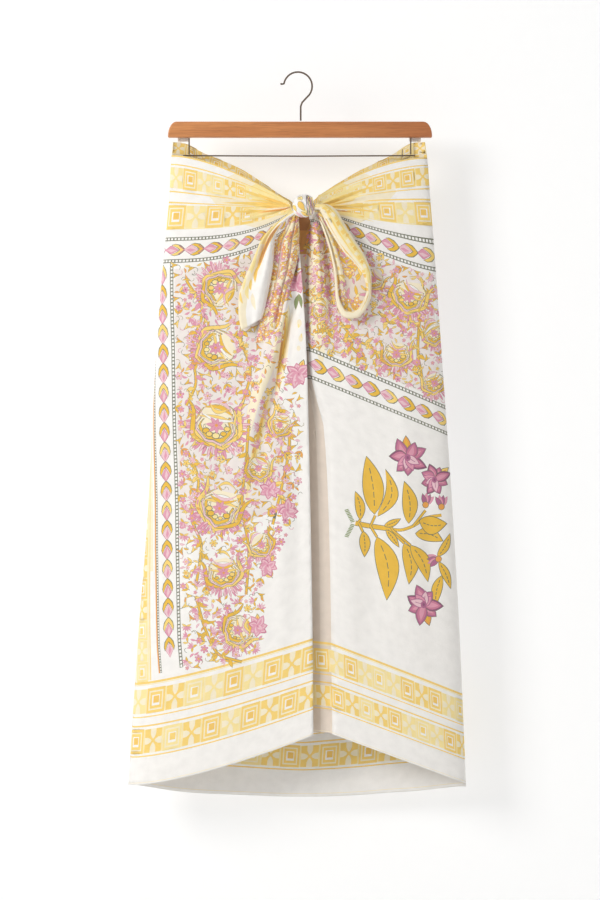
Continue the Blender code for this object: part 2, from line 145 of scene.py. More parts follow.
# %% A smooth reader for the tables
def read(table, key, column, at):
    """A column of a table at values of its key, on a smooth curve that never overshoots."""
    xs = np.array([getattr(row, key) for row in table], float)
    ys = np.array([getattr(row, column) for row in table], float)
    at = np.clip(np.asarray(at, float), xs[0], xs[-1])
    steps = np.diff(ys) / np.diff(xs)
    same_way = steps[:-1] * steps[1:] > 0.0
    total = np.where(same_way, steps[:-1] + steps[1:], 1.0)
    inner = np.where(same_way, 2.0 * steps[:-1] * steps[1:] / total, 0.0)
    slopes = np.concatenate(([steps[0]], inner, [steps[-1]]))
    i = np.clip(np.searchsorted(xs, at, side="right") - 1, 0, len(xs) - 2)
    width = xs[i + 1] - xs[i]
    t = (at - xs[i]) / width
    return ((2 * t**3 - 3 * t**2 + 1) * ys[i] + (t**3 - 2 * t**2 + t) * width * slopes[i]
            + (3 * t**2 - 2 * t**3) * ys[i + 1] + (t**3 - t**2) * width * slopes[i + 1])


def ease(value, start, stop):
    """0 before start and 1 after stop, with soft ends."""
    t = np.clip((value - start) / (stop - start), 0.0, 1.0)
    return t * t * (3.0 - 2.0 * t)


def side_share(x, drop):
    """How far across the tube a point is: 0 at its middle and 1 at either side."""
    left = read(SIDES, "drop", "left", drop)
    right = read(SIDES, "drop", "right", drop)
    return np.clip(np.abs(2.0 * (x - left) / (right - left) - 1.0), 0.0, 1.0)


def tube_depth(x, drop):
    depth = read(SIDES, "drop", "depth", drop)
    return depth * np.sqrt(1.0 - side_share(x, drop) ** CORNER_POWER)


print("half depth at the hem", float(tube_depth(0.0, 1.0)))

# %% [markdown]
# ## Creases
# Hung cotton shows few creases, and no two are alike.  Each is a row of a table: a path of three
# points down the cloth, a half width at each end, and a height that is above zero for a ridge
# and below zero for a trough.  Placing them one by one follows the cloth better than noise does.


# %% The crease maker
Crease = namedtuple("Crease", "x0 drop0 x1 drop1 x2 drop2 wide0 wide2 height")


def crease_relief(creases, x, drop):
    """How far forward all the creases together move the cloth at each point."""
    relief = np.zeros_like(x)
    for c in creases:
        t = np.linspace(0.0, 1.0, 13)
        path_x = (1 - t) ** 2 * c.x0 + 2 * t * (1 - t) * c.x1 + t**2 * c.x2
        path_drop = (1 - t) ** 2 * c.drop0 + 2 * t * (1 - t) * c.drop1 + t**2 * c.drop2
        nearest = np.full(x.shape, 1e9)
        share = np.zeros_like(x)
        for k in range(len(t) - 1):
            ax, ad = path_x[k], path_drop[k]
            bx, bd = path_x[k + 1] - ax, path_drop[k + 1] - ad
            s = np.clip(((x - ax) * bx + (drop - ad) * bd) / (bx * bx + bd * bd), 0.0, 1.0)
            away = np.hypot(x - ax - s * bx, drop - ad - s * bd)
            closer = away < nearest
            nearest = np.where(closer, away, nearest)
            share = np.where(closer, t[k] + s / (len(t) - 1), share)
        wide = c.wide0 + (c.wide2 - c.wide0) * share
        fade = ease(share, 0.0, 0.16) * (1.0 - ease(share, 0.45, 1.0))
        relief += c.height * fade * np.exp(-((nearest / wide) ** 2))
    return relief


def fan(x, drop, direction, rays):
    """Gathers that spread from the knot: rows of (rise in degrees, length, height)."""
    return [Crease(x, drop,
                   x + direction * length * 0.5 * math.cos(math.radians(rise)),
                   drop - length * 0.5 * math.sin(math.radians(rise)) + 0.001 * (k % 3 - 1),
                   x + direction * length * math.cos(math.radians(rise)),
                   drop - length * math.sin(math.radians(rise)),
                   0.0011, 0.0014 + length * 0.030, height * 1.45)
            for k, (rise, length, height) in enumerate(rays)]


LEFT_CREASES = fan(-0.008, 0.1955, -1, (
    (17, 0.075, -0.0022), (12, 0.055, 0.0022), (8, 0.105, -0.0030), (3, 0.060, 0.0020),
    (-1, 0.085, -0.0026), (-6, 0.050, 0.0024), (-9, 0.110, -0.0028), (-14, 0.060, 0.0020),
    (-18, 0.090, -0.0024)))
LEFT_CREASES += [
    # the long fold that carries the drape on down the skirt, and its valley
    Crease(-0.010, 0.290, -0.022, 0.385, -0.056, 0.520, 0.0060, 0.0085, 0.0125),
    Crease(-0.030, 0.360, -0.052, 0.440, -0.084, 0.620, 0.0070, 0.0110, 0.0080),
    Crease(-0.004, 0.250, -0.006, 0.350, -0.034, 0.450, 0.0035, 0.0060, -0.0060),
    Crease(-0.010, 0.330, -0.032, 0.440, -0.066, 0.620, 0.0050, 0.0095, -0.0105),
    Crease(-0.048, 0.300, -0.052, 0.360, -0.070, 0.430, 0.0060, 0.0080, -0.0030),
    Crease(0.000, 0.300, -0.006, 0.360, -0.014, 0.470, 0.0030, 0.0060, -0.0028),
    # quieter folds over the skirt
    Crease(-0.060, 0.420, -0.090, 0.560, -0.100, 0.760, 0.0120, 0.0180, 0.0026),
    Crease(-0.020, 0.560, -0.026, 0.700, -0.020, 0.900, 0.0100, 0.0160, 0.0024),
    Crease(0.004, 0.520, 0.000, 0.660, 0.002, 0.860, 0.0060, 0.0100, -0.0016),
    Crease(-0.130, 0.520, -0.150, 0.700, -0.158, 0.960, 0.0160, 0.0220, 0.0022),
    Crease(-0.120, 0.300, -0.110, 0.380, -0.118, 0.520, 0.0120, 0.0160, -0.0018),
    Crease(-0.150, 0.215, -0.118, 0.210, -0.080, 0.222, 0.0060, 0.0080, -0.0012),
    Crease(-0.090, 0.720, -0.060, 0.840, -0.066, 0.960, 0.0140, 0.0200, -0.0018),
]
RIGHT_CREASES = fan(0.0262, 0.1955, 1, (
    (21, 0.050, 0.0022), (17, 0.095, -0.0026), (12, 0.060, 0.0020), (8, 0.100, -0.0030),
    (3, 0.065, 0.0022), (-1, 0.120, -0.0028), (-6, 0.060, 0.0022), (-10, 0.085, -0.0026),
    (-16, 0.055, -0.0022)))
RIGHT_CREASES += [
    # the drape between the gap and the loop, and the fold it leaves in the skirt
    Crease(0.0245, 0.204, 0.035, 0.270, 0.036, 0.460, 0.0075, 0.0130, 0.0100),
    Crease(0.0290, 0.215, 0.038, 0.280, 0.037, 0.400, 0.0020, 0.0035, -0.0022),
    Crease(0.0230, 0.225, 0.025, 0.290, 0.026, 0.380, 0.0018, 0.0030, -0.0020),
    Crease(0.0330, 0.214, 0.047, 0.260, 0.052, 0.400, 0.0026, 0.0055, -0.0050),
    Crease(0.0340, 0.230, 0.042, 0.290, 0.044, 0.350, 0.0018, 0.0030, -0.0018),
    Crease(0.080, 0.330, 0.070, 0.420, 0.074, 0.560, 0.0120, 0.0180, 0.0018),
    Crease(0.100, 0.560, 0.112, 0.720, 0.104, 0.930, 0.0160, 0.0240, -0.0024),
    Crease(0.155, 0.430, 0.150, 0.620, 0.160, 0.860, 0.0160, 0.0220, 0.0024),
    Crease(0.070, 0.640, 0.078, 0.780, 0.074, 0.960, 0.0120, 0.0180, 0.0018),
    Crease(0.182, 0.560, 0.190, 0.700, 0.196, 0.930, 0.0090, 0.0130, -0.0022),
    Crease(0.100, 0.220, 0.130, 0.222, 0.160, 0.232, 0.0060, 0.0080, -0.0012),
]
BACK_CREASES = [
    Crease(-0.020, 0.200, -0.050, 0.420, -0.055, 0.800, 0.0090, 0.0200, -0.0034),
    Crease(0.030, 0.190, 0.060, 0.400, 0.072, 0.760, 0.0090, 0.0180, -0.0030),
    Crease(0.004, 0.210, 0.010, 0.500, 0.000, 1.000, 0.0100, 0.0200, 0.0030),
    Crease(-0.080, 0.160, -0.120, 0.420, -0.130, 0.900, 0.0100, 0.0220, 0.0026),
    Crease(0.090, 0.160, 0.130, 0.450, 0.136, 0.960, 0.0100, 0.0200, 0.0024),
    Crease(-0.150, 0.130, -0.120, 0.200, -0.060, 0.240, 0.0060, 0.0120, -0.0024),
    Crease(0.150, 0.130, 0.120, 0.200, 0.060, 0.236, 0.0060, 0.0120, -0.0022),
    Crease(-0.170, 0.500, -0.180, 0.700, -0.190, 1.000, 0.0120, 0.0180, -0.0020),
]
print(len(LEFT_CREASES) + len(RIGHT_CREASES) + len(BACK_CREASES), "creases")

# %% [markdown]
# ## Hanging a flat stretch
# A `Hang` carries a stretch from flat cloth coordinates, u across and v down in metres, to the
# frame.  It samples its rows once into a lattice and then reads between the lattice's points,
# so a print with thousands of corners is hung in one go.


# %% The Hang class
class Hang:
    """Carries (u, v) on the flat cloth to points in the frame."""

    def __init__(self, levels, ends, lattice, creases, facing, extra=None):
        self.levels, self.ends, self.lattice = levels, ends, lattice
        self.creases, self.facing, self.extra = creases, facing, extra

    def relief(self, x, drop):
        relief = crease_relief(self.creases, x, drop)
        relief *= 1.0 - ease(side_share(x, drop), 0.93, 1.0)
        if self.extra:
            relief += self.extra(x, drop)
        return relief

    def place(self, uv):
        uv = np.asarray(uv, float)
        rows, columns = self.lattice.shape[:2]
        row = np.interp(uv[:, 1], self.levels, np.arange(rows))
        end = np.interp(uv[:, 1], self.levels, self.ends)
        column = np.clip(uv[:, 0] / end, 0.0, 1.0) * (columns - 1)
        r = np.clip(row.astype(int), 0, rows - 2)
        c = np.clip(column.astype(int), 0, columns - 2)
        down, aside = (row - r)[:, None], (column - c)[:, None]
        grid = self.lattice
        upper = grid[r, c] * (1 - aside) + grid[r, c + 1] * aside
        lower = grid[r + 1, c] * (1 - aside) + grid[r + 1, c + 1] * aside
        points = upper * (1 - down) + lower * down
        points[:, 1] += self.facing * self.relief(points[:, 0], -points[:, 2])
        return points

    def find(self, places):
        """The (u, v) of places given as (x, drop), read back through the lattice."""
        places = np.asarray(places, float)
        if not hasattr(self, "xs"):
            xs = self.lattice[:, :, 0]
            self.xs = np.linspace(xs.min(), xs.max(), 420)
            order = 1 if xs[0, -1] > xs[0, 0] else -1
            self.drops, self.us = [], []
            for row, end in zip(self.lattice[:, ::order], self.ends):
                us = np.linspace(0.0, end, len(row))[::order]
                self.drops.append(np.interp(self.xs, row[:, 0], -row[:, 2]))
                past = np.maximum(row[0, 0] - self.xs, 0.0) + np.maximum(self.xs - row[-1, 0], 0.0)
                at = np.interp(self.xs, row[:, 0], us)
                self.us.append(np.where(at < end / 2.0, at - 1.3 * past, at + 1.3 * past))
            self.drops, self.us = np.array(self.drops), np.array(self.us)
        column = np.interp(places[:, 0], self.xs, np.arange(len(self.xs)))
        c = np.clip(column.astype(int), 0, len(self.xs) - 2)
        aside = column - c
        drops = self.drops[:, c] * (1 - aside) + self.drops[:, c + 1] * aside
        us = self.us[:, c] * (1 - aside) + self.us[:, c + 1] * aside
        r = np.clip((drops < places[:, 1]).sum(axis=0) - 1, 0, len(drops) - 2)
        n = np.arange(len(places))
        down = (places[:, 1] - drops[r, n]) / (drops[r + 1, n] - drops[r, n])
        down = np.clip(down, -3.0, 3.0)
        u = us[r, n] * (1 - down) + us[r + 1, n] * down
        v = self.levels[r] * (1 - down) + self.levels[r + 1] * down
        return np.stack([u, v], axis=1)

    def outline(self, step=0.012):
        """The flat outline of the stretch, anticlockwise with v as the second axis."""
        top, bottom = self.levels[0], self.levels[-1]
        vs = np.arange(top + step, bottom - step / 2, step)
        tops = [(u, top) for u in np.arange(0.0, self.ends[0] - step / 2, step)]
        right = [(np.interp(v, self.levels, self.ends), v) for v in (top, *vs)]
        bottoms = [(u, bottom) for u in np.arange(self.ends[-1], step / 2, -step)]
        left = [(0.0, v) for v in (bottom, *vs[::-1])]
        return [tuple(map(float, p)) for p in tops + right + bottoms + left]


def cloth_lattice(rows):
    """Levels, row lengths and points, even along each row, from (v, points, gather) rows."""
    columns = 190
    levels, ends, lattice = [], [], []
    for v, points, gather in rows:
        run = np.concatenate(([0.0], np.cumsum(np.linalg.norm(np.diff(points, axis=0), axis=1))))
        share = run / run[-1]
        cloth = run[-1] * (share + gather * share**4)
        even = np.linspace(0.0, cloth[-1], columns)
        levels.append(v)
        ends.append(cloth[-1])
        lattice.append(np.stack([np.interp(even, cloth, points[:, k]) for k in range(3)], axis=1))
    return np.array(levels), np.array(ends), np.array(lattice)


def front_rows(threads, side_column, seam=0.0003):
    for v in np.linspace(threads[0].v, threads[-1].v, 230):
        side_drop, end_x, end_drop, tuck, bend, lift, gather = (
            float(read(threads, "v", column, v)) for column in Thread._fields[1:])
        side_x = float(read(SIDES, "drop", side_column, side_drop))
        across = np.linspace(0.0, 1.0, 260) ** 1.7
        x = side_x + (end_x - side_x) * across
        drop = side_drop + (end_drop - side_drop) * across**bend
        front = tube_depth(x, drop) + seam + lift * across**6
        points = np.stack([x, -front, -drop], axis=1)
        if tuck > 1e-4:
            more = np.linspace(0.02, 1.0, 40)[:, None]
            tail = points[-1] + more * np.array((-tuck, 0.0, 0.10 * tuck))
            points = np.concatenate((points, tail))
        yield v, points, gather


left_hang = Hang(*cloth_lattice(front_rows(LEFT_THREADS, "left")), LEFT_CREASES, -1.0)
print("left front:", round(left_hang.ends[0], 3), "m at the waist,",
      round(left_hang.ends[-1], 3), "m at the hem")


# %% The right front, with its tuck behind the fold
PLEAT_SET_BACK = 0.0105


def pleat(x, drop):
    """The right front sinks back past its fold, softly near the top and sharply below."""
    fold = read(RIGHT_THREADS, "end_drop", "end_x", drop)
    soft = 0.009 + 0.012 * ease(drop, 0.34, 0.42) - 0.012 * ease(drop, 0.45, 0.75)
    depth = PLEAT_SET_BACK * (1.7 - 0.7 * ease(drop, 0.22, 0.36))
    return -depth * ease(fold - x, -0.45 * soft, 0.55 * soft)


right_hang = Hang(*cloth_lattice(front_rows(RIGHT_THREADS, "right")), RIGHT_CREASES, -1.0, pleat)
print("right front:", round(right_hang.ends[-1], 3), "m at the hem with its tuck")


# %% The back
def back_rows(seam=0.0003):
    for v in np.linspace(0.0, CLOTH_LENGTH + 0.022, 200):
        share = v / (CLOTH_LENGTH + 0.022)
        across = np.sin(np.linspace(-0.5, 0.5, 420) * math.pi)
        drop = 0.10 + share * 0.94 + 0.0 * across
        for _ in range(4):
            left = read(SIDES, "drop", "left", drop)
            right = read(SIDES, "drop", "right", drop)
            x = (left + right) / 2.0 + across * (right - left) / 2.0
            waist = read(BACK_EDGES, "x", "waist_drop", x)
            hem = read(BACK_EDGES, "x", "hem_drop", x)
            drop = waist + share * (hem - waist)
        yield v, np.stack([x, tube_depth(x, drop) + seam, -drop], axis=1), 0.0


back_hang = Hang(*cloth_lattice(back_rows()), BACK_CREASES, 1.0)
print("back:", round(back_hang.ends[-1], 3), "m round at the hem")

# %% [markdown]
# ## The print
# The cloth is block printed in a few inks: yellow key-pattern bands, grey-green rows of beads,
# chains of pink diamonds, and a field of palmettes, florets and vines.  Each ink shape is a
# small polygon.  Borders are drawn on the flat cloth, figures where they hang, and a Delaunay
# cut then joins all of them and a plain grid into one sheet whose every triangle has one ink.


# %% The inks
def ink(red, green, blue):
    """A colour as it looks on the cloth, from 0 to 255, turned to linear light."""
    return tuple(((c / 255.0 + 0.055) / 1.055) ** 2.4 for c in (red, green, blue))


INKS = {
    "cloth": ink(253, 250, 246),
    "petal": ink(244, 235, 230),
    # These two beiges are painted shade: both lie in the recess beside the fold, the first also in the
    # gap under the knot and the second in the drape's creases.  The first is also the ground of the
    # loop's far wall.
    "fawn": ink(236, 222, 208),
    "sand": ink(229, 212, 196),
    "cream": ink(253, 241, 212),
    "butter": ink(255, 234, 166),
    "yellow": ink(254, 219, 128),
    "honey": ink(249, 206, 112),
    "marigold": ink(243, 196, 82),
    "amber": ink(242, 172, 92),
    "blush": ink(243, 205, 212),
    "pink": ink(231, 164, 184),
    "rose": ink(212, 134, 158),
    "mauve": ink(186, 116, 150),
    "plum": ink(152, 98, 128),
    "outline": ink(124, 126, 108),
    "taupe": ink(168, 156, 120),
    "sage": ink(150, 164, 118),
    # These two browns are painted shade, not print: between them they darken the gap under the knot, the
    # valleys of the long fold, the tail's trough and the loop's far wall.
    "shade": ink(214, 160, 98),
    "umber": ink(186, 134, 90),
}
GAMUT = list(INKS)
print(len(INKS), "inks")


# %% Cutting a printed sheet along its inks
LEAST_AREA = 2e-8        # a smaller ink shape is not cut
WELD = 2e-6              # corners nearer than this become one
FAIR_CLAIM = 1.25        # a sound shape claims no more than this times its own area


class Print:
    """A flat stretch of cloth and the ink shapes on it, painted shade among them, the lowest first."""

    def __init__(self, hang, seed, spacing=0.005):
        self.hang, self.spacing = hang, spacing
        self.dice = random.Random(seed)
        self.shapes = [("cloth", np.array(hang.outline()), True)]
        self.zones = []

    def finer(self, low, high, spacing):
        """Asks for a closer grid over a box of (x, drop), where the creases are narrow."""
        self.zones.append((low, high, spacing))

    def flat(self, name, points):
        """A shape in cloth coordinates."""
        self.shapes.append((name, np.asarray(points, float), True))

    def hung(self, name, points):
        """A shape where it hangs, as (x, drop) points."""
        self.shapes.append((name, np.asarray(points, float), False))

    def cut(self):
        """Flat corners, triangles and the ink of each triangle."""
        loose = [k for k, shape in enumerate(self.shapes) if not shape[2]]
        if loose:
            found = self.hang.find(np.concatenate([self.shapes[k][1] for k in loose]))
            start = 0
            for k in loose:
                name, points, _ = self.shapes[k]
                self.shapes[k] = (name, found[start:start + len(points)], True)
                start += len(points)
        corners, faces, names, sizes = [], [], [], []
        for name, points, _ in self.shapes:
            x, y = points[:, 0], points[:, 1]
            area = 0.5 * float(np.sum(x * np.roll(y, -1) - y * np.roll(x, -1)))
            if abs(area) < LEAST_AREA:
                continue
            points = points if area > 0.0 else points[::-1]
            faces.append(list(range(len(corners), len(corners) + len(points))))
            names.append(name)
            sizes.append(abs(area))
            corners.extend(Vector(map(float, p)) for p in points)
        domain = self.shapes[0][1]
        low, high = domain.min(axis=0) + 0.6 * self.spacing, domain.max(axis=0)
        rows = np.arange(low[1], high[1] - 0.4 * self.spacing, self.spacing * 0.9)
        for k, v in enumerate(rows):
            end = float(np.interp(v, self.hang.levels, self.hang.ends)) - 0.5 * self.spacing
            for u in np.arange(low[0] + (k % 2) * self.spacing / 2.0, end, self.spacing):
                corners.append(Vector((float(u), float(v))))
        for (x0, drop0), (x1, drop1), spacing in self.zones:
            x, drop = np.meshgrid(np.arange(x0, x1, spacing), np.arange(drop0, drop1, spacing))
            x[::2] += spacing / 2.0
            spots = self.hang.find(np.stack([x.ravel(), drop.ravel()], axis=1))
            end = np.interp(spots[:, 1], self.hang.levels, self.hang.ends)
            room = np.minimum(np.minimum(spots[:, 0], end - spots[:, 0]),
                              np.minimum(spots[:, 1], self.hang.levels[-1] - spots[:, 1]))
            corners.extend(Vector(map(float, spot)) for spot in spots[room > spacing * 0.4])
        flat, _, cut, _, _, owners = delaunay_2d_cdt(corners, [], faces, 0, WELD)
        # a shape whose outline crosses itself can claim more than its own area: it is left out
        flat = np.array([corner[:] for corner in flat])
        claimed = np.zeros(len(faces))
        for face, own in zip(cut, owners):
            (ax, ay), (bx, by), (cx, cy) = flat[face[0]], flat[face[1]], flat[face[2]]
            claimed[own] += 0.5 * abs((bx - ax) * (cy - ay) - (cx - ax) * (by - ay))
        sound = claimed < FAIR_CLAIM * np.array(sizes) + 1e-7
        sound[0] = True
        print("left out", int((~sound).sum()), "of", len(faces), "shapes")
        kept = [(face, max(i for i in own if sound[i]))
                for face, own in zip(cut, owners) if own and 0 in own]
        inks = [GAMUT.index(names[owner]) for _, owner in kept]
        used = sorted({i for face, _ in kept for i in face})
        index = {i: n for n, i in enumerate(used)}
        triangles = np.array([[index[i] for i in face] for face, _ in kept])
        return flat[used], triangles, np.array(inks)


# %% Tracks and borders
def across_cloth(v0):
    """A track along a woven row: s runs across the cloth and w down it."""
    return lambda s, w: np.stack([s + 0.0 * w, v0 + w + 0.0 * s], axis=-1)


def down_cloth(edge):
    """A track down the cloth beside a line whose u is edge(v)."""
    return lambda s, w: np.stack([edge(s) + w, s + 0.0 * w], axis=-1)


def strip(page, name, track, start, stop, w0, w1, step=0.010):
    s = np.linspace(start, stop, max(2, int((stop - start) / step) + 1))
    page.flat(name, np.concatenate((track(s, w0 + 0.0 * s), track(s, w1 + 0.0 * s)[::-1])))


def on_track(page, name, track, points, s0, w0, along, wide):
    points = np.asarray(points, float)
    page.flat(name, track(s0 + points[:, 0] * along, w0 + points[:, 1] * wide))


def bead_row(page, track, start, stop, wide=0.0052, pitch=0.0053, edge="outline"):
    strip(page, edge, track, start, stop, -wide / 2, wide / 2)
    bead = ((-0.34, -0.27), (0.34, -0.27), (0.34, 0.27), (-0.34, 0.27))
    count = round((stop - start) / pitch)
    pitch = (stop - start) / count
    for k in range(count):
        on_track(page, "cloth", track, bead, start + (k + 0.5) * pitch, 0.0,
                 pitch * page.dice.uniform(0.90, 1.06), wide)


def diamond_chain(page, track, start, stop, pitch, half, forward=1):
    """Pink diamonds on a thin zigzag, each with a two-leaved yellow bud on its leading side."""
    count = int((stop - start) / pitch)
    for k in range(count):
        s0 = start + (k + (0.0 if forward > 0 else 1.0)) * pitch
        size = half * page.dice.uniform(0.94, 1.06)
        lean = page.dice.uniform(-0.08, 0.08)

        def put(name, points):
            on_track(page, name, track, points, s0, 0.0, forward * pitch, size)

        for side in (-1, 1) if forward > 0 or k < count - 1 else ():
            put("mauve", ((-0.30, side * 0.72), (0.30, side * -0.80), (0.34, side * -0.74),
                          (-0.26, side * 0.80)))
        for name, grow in (("outline", 0.05), ("marigold" if k % 3 else "yellow", 0.0)):
            for side in (-1, 1):
                put(name, ((0.36 - grow, side * (0.88 + grow)), (0.52, side * (1.04 + 2 * grow)),
                           (0.74 + grow, side * (0.84 + 2 * grow)), (0.92 + grow, side * 0.42),
                           (1.02 + grow, lean), (0.80 - grow, lean), (0.66 - grow, side * 0.40)))
        diamond = np.array(((0.0, 0.0), (0.35, 0.74), (0.70, 0.0), (0.35, -0.74)))
        put("rose", (diamond - (0.35, 0)) * 1.10 + (0.35, 0))
        put("blush" if k % 2 else "pink", diamond)
        put("pink" if k % 2 else "blush", ((0.10, lean), (0.34, 0.42), (0.60, 0.10), (0.30, -0.20)))


def square(half_along, half_wide=None, at=(0.0, 0.0)):
    half_wide = half_along if half_wide is None else half_wide
    return [(at[0] + i * half_along, at[1] + j * half_wide)
            for i, j in ((-1, -1), (1, -1), (1, 1), (-1, 1))]


def key_band(page, track, start, stop, pitch, wide, first=0):
    """Concentric squares and four-lobed crosses in turn, between their own bars."""
    tones = ("yellow", "butter", "yellow", "butter", "yellow")
    strip(page, "cream", track, start, stop, -wide * 0.49, wide * 0.49)
    for k in range(int(math.ceil((stop - start) / pitch))):
        tone = page.dice.choice(tones)
        dark = "yellow" if tone == "butter" else "honey"
        s0 = start + (k + 0.5) * pitch
        if (k + first) % 2:
            for half, name in ((0.48, tone), (0.37, "cream"), (0.31, tone), (0.20, "cloth")):
                on_track(page, name, track, square(half, half * 1.04), s0, 0.0, pitch, wide)
            on_track(page, dark, track, square(0.15, 0.14, (0.02, -0.03)), s0, 0.0, pitch, wide)
            continue
        for i, j in ((-1, -1), (1, -1), (1, 1), (-1, 1)):
            lobe = [(i * x, j * y) for x, y in
                    ((0.15, 0.48), (0.14, 0.26), (0.07, 0.13), (-0.06, 0.01), (0.05, -0.06),
                     (0.13, 0.06), (0.27, 0.13), (0.44, 0.14), (0.45, 0.47))]
            on_track(page, tone, track, lobe, s0, 0.0, pitch, wide)
        for i in (-1, 1):
            on_track(page, "butter", track, square(0.022, 0.47, (i * 0.475, 0)), s0, 0.0,
                     pitch, wide)


def bottom_bands(page, pitch, first=0, lower=0.0):
    """The two key bands above the hem, with their thin lines."""
    end = float(page.hang.ends.max())

    def across(v):
        return across_cloth(v + lower)

    for v, wide, name in ((0.7610, 0.0034, "yellow"), (0.8098, 0.0017, "yellow"),
                          (0.8228, 0.0023, "yellow"), (0.8660, 0.0019, "yellow"),
                          (0.7640, 0.0008, "butter")):
        strip(page, name, across(v), 0.0, end, -wide / 2, wide / 2)
    key_band(page, across(0.7875), 0.0, end, pitch, 0.0360, first)
    key_band(page, across(0.8449), 0.0, end, pitch, 0.0350, first + 1)
    strip(page, "cream", across(0.9035), 0.0, end, -0.0004, 0.0004)


def waist_bands(page, pitches=(0.0215, 0.0300)):
    end = float(page.hang.ends.max())
    for v, wide, name in ((0.0012, 0.0022, "yellow"), (0.0135, 0.0018, "yellow"),
                          (0.0524, 0.0019, "yellow"), (0.0678, 0.0024, "yellow"),
                          (0.1072, 0.0012, "butter")):
        strip(page, name, across_cloth(v), 0.0, end, -wide / 2, wide / 2)
    key_band(page, across_cloth(0.0325), 0.0, end, pitches[0], 0.0310)
    key_band(page, across_cloth(0.0893), 0.0, end, pitches[1], 0.0352, 1)
    bead_row(page, across_cloth(0.1225), 0.0, end)
    bead_row(page, across_cloth(0.1528), 0.0, end)


def knot_streaks(page, knot, direction, rays):
    """Where the cloth is gathered the yellow bands close up into streaks."""
    for rise, start, length, wide, name in rays:
        way = heading(math.radians(rise)) * (direction, 1)
        page.hung(name, leaf_shape(knot + way * start, knot + way * (start + length), wide,
                                   page.dice.uniform(-0.002, 0.002), 7, 0.0, 0.7))


print("borders ready")

# %% [markdown]
# ## Figures
# Figures are drawn as a block cutter would think of them: a leaf is a width along a spine, a
# flower is a ring of petals, and a palmette is a scalloped heart with a fringe.  Every call
# rolls a seeded die, so that no two are the same and each run gives the same cloth.


# %% Leaves, rings and strokes, as (x, drop) points
def heading(angle):
    """The way an angle in radians points, anticlockwise from the right, as (x, drop)."""
    return np.array((math.cos(angle), -math.sin(angle)))


def leaf_shape(base, tip, wide, bow=0.0, steps=6, extra=0.0, point=0.85):
    """The outline of a leaf: bow bends its spine to the right of the way it grows."""
    base, tip = np.array(base, float), np.array(tip, float)
    way = tip - base
    length = math.hypot(*way)
    ahead, aside = way / length, np.array((-way[1], way[0])) / length
    base, tip = base - ahead * extra, tip + ahead * extra * 1.5
    t = np.linspace(0.0, 1.0, steps + 1)
    spine = base + t[:, None] * (tip - base) + (bow * np.sin(math.pi * t))[:, None] * aside
    half = (wide / 2.0 + extra) * np.sin(math.pi * t**point) ** 0.9
    half[[0, -1]] = 0.0
    right, left = spine + half[:, None] * aside, spine - half[:, None] * aside
    return np.concatenate((right, left[-2:0:-1]))


def ring_shape(centre, rx, ry, sides=8, turn=0.0):
    a = turn + np.linspace(0.0, 2.0 * math.pi, sides, endpoint=False)
    return np.stack([centre[0] + rx * np.cos(a), centre[1] + ry * np.sin(a)], axis=1)


def star_shape(centre, outer, inner, points, turn=0.0):
    a = turn + np.arange(2 * points) * math.pi / points
    r = np.where(np.arange(2 * points) % 2, inner, outer)
    return np.stack([centre[0] + r * np.cos(a), centre[1] + r * np.sin(a)], axis=1)


def blossom_shape(centre, outer, petals, turn=0.0, notch=0.52):
    """A round-petalled flower, each petal three points and the notch after it."""
    angle, reach = [], []
    for k in range(petals):
        for share, r in ((-0.28, 0.90), (0.0, 1.0), (0.28, 0.90), (0.5, notch)):
            angle.append(turn + (k + share) * 2.0 * math.pi / petals)
            reach.append(outer * r)
    angle, reach = np.array(angle), np.array(reach)
    return np.stack([centre[0] + reach * np.cos(angle), centre[1] + reach * np.sin(angle)], axis=1)


def stroke(page, name, points, wide, flat=False):
    """A line of overlapping short strips, so that it may cross itself."""
    points = np.asarray(points, float)
    draw = page.flat if flat else page.hung
    for a, b in zip(points, points[1:]):
        way = b - a
        length = math.hypot(*way)
        if length < 1e-6:
            continue
        aside = np.array((-way[1], way[0])) / length * wide / 2.0
        draw(name, (a - aside, b - aside, b + aside, a + aside))


def ribbon(page, name, points, wide, edge=0.0, steps=12, flat=False):
    """A band along a smooth path that tapers to a point at both ends."""
    path = bend(points, steps)
    way = np.gradient(path, axis=0)
    aside = np.stack([-way[:, 1], way[:, 0]], axis=1) / np.linalg.norm(way, axis=1)[:, None]
    t = np.linspace(0.0, 1.0, steps)
    half = (wide / 2.0 * np.sin(math.pi * t) ** 0.6 + edge)[1:-1, None]
    ends = np.concatenate((path[1:-1] + aside[1:-1] * half, path[-1:],
                           (path[1:-1] - aside[1:-1] * half)[::-1], path[:1]))
    (page.flat if flat else page.hung)(name, ends)


def bend(points, steps=24):
    """A smooth path through a few points."""
    points = np.asarray(points, float)
    at = np.concatenate(([0.0], np.cumsum(np.linalg.norm(np.diff(points, axis=0), axis=1))))
    Knot = namedtuple("Knot", "at x y")
    table = [Knot(*row) for row in zip(at, points[:, 0], points[:, 1])]
    s = np.linspace(0.0, at[-1], steps)
    return np.stack([read(table, "at", "x", s), read(table, "at", "y", s)], axis=1)


def leaf(page, base, tip, wide, bow=0.0, name="marigold", edge=0.0007, rib=0.0, steps=6):
    rim = "outline" if rib or wide > 0.0065 else "taupe"
    rim = "rose" if name in ("pink", "blush") and not rib else rim
    page.hung(rim, leaf_shape(base, tip, wide, bow, steps, edge))
    page.hung(name, leaf_shape(base, tip, wide, bow, steps))
    if rib:
        base, tip = np.array(base, float), np.array(tip, float)
        way = tip - base
        aside = np.array((-way[1], way[0])) / math.hypot(*way)
        for k in range(5):
            t = np.array((0.14 + 0.14 * k, 0.14 + 0.14 * k + 0.10))
            run = base + t[:, None] * way + (bow * np.sin(math.pi * t))[:, None] * aside
            stroke(page, "outline", run, rib)


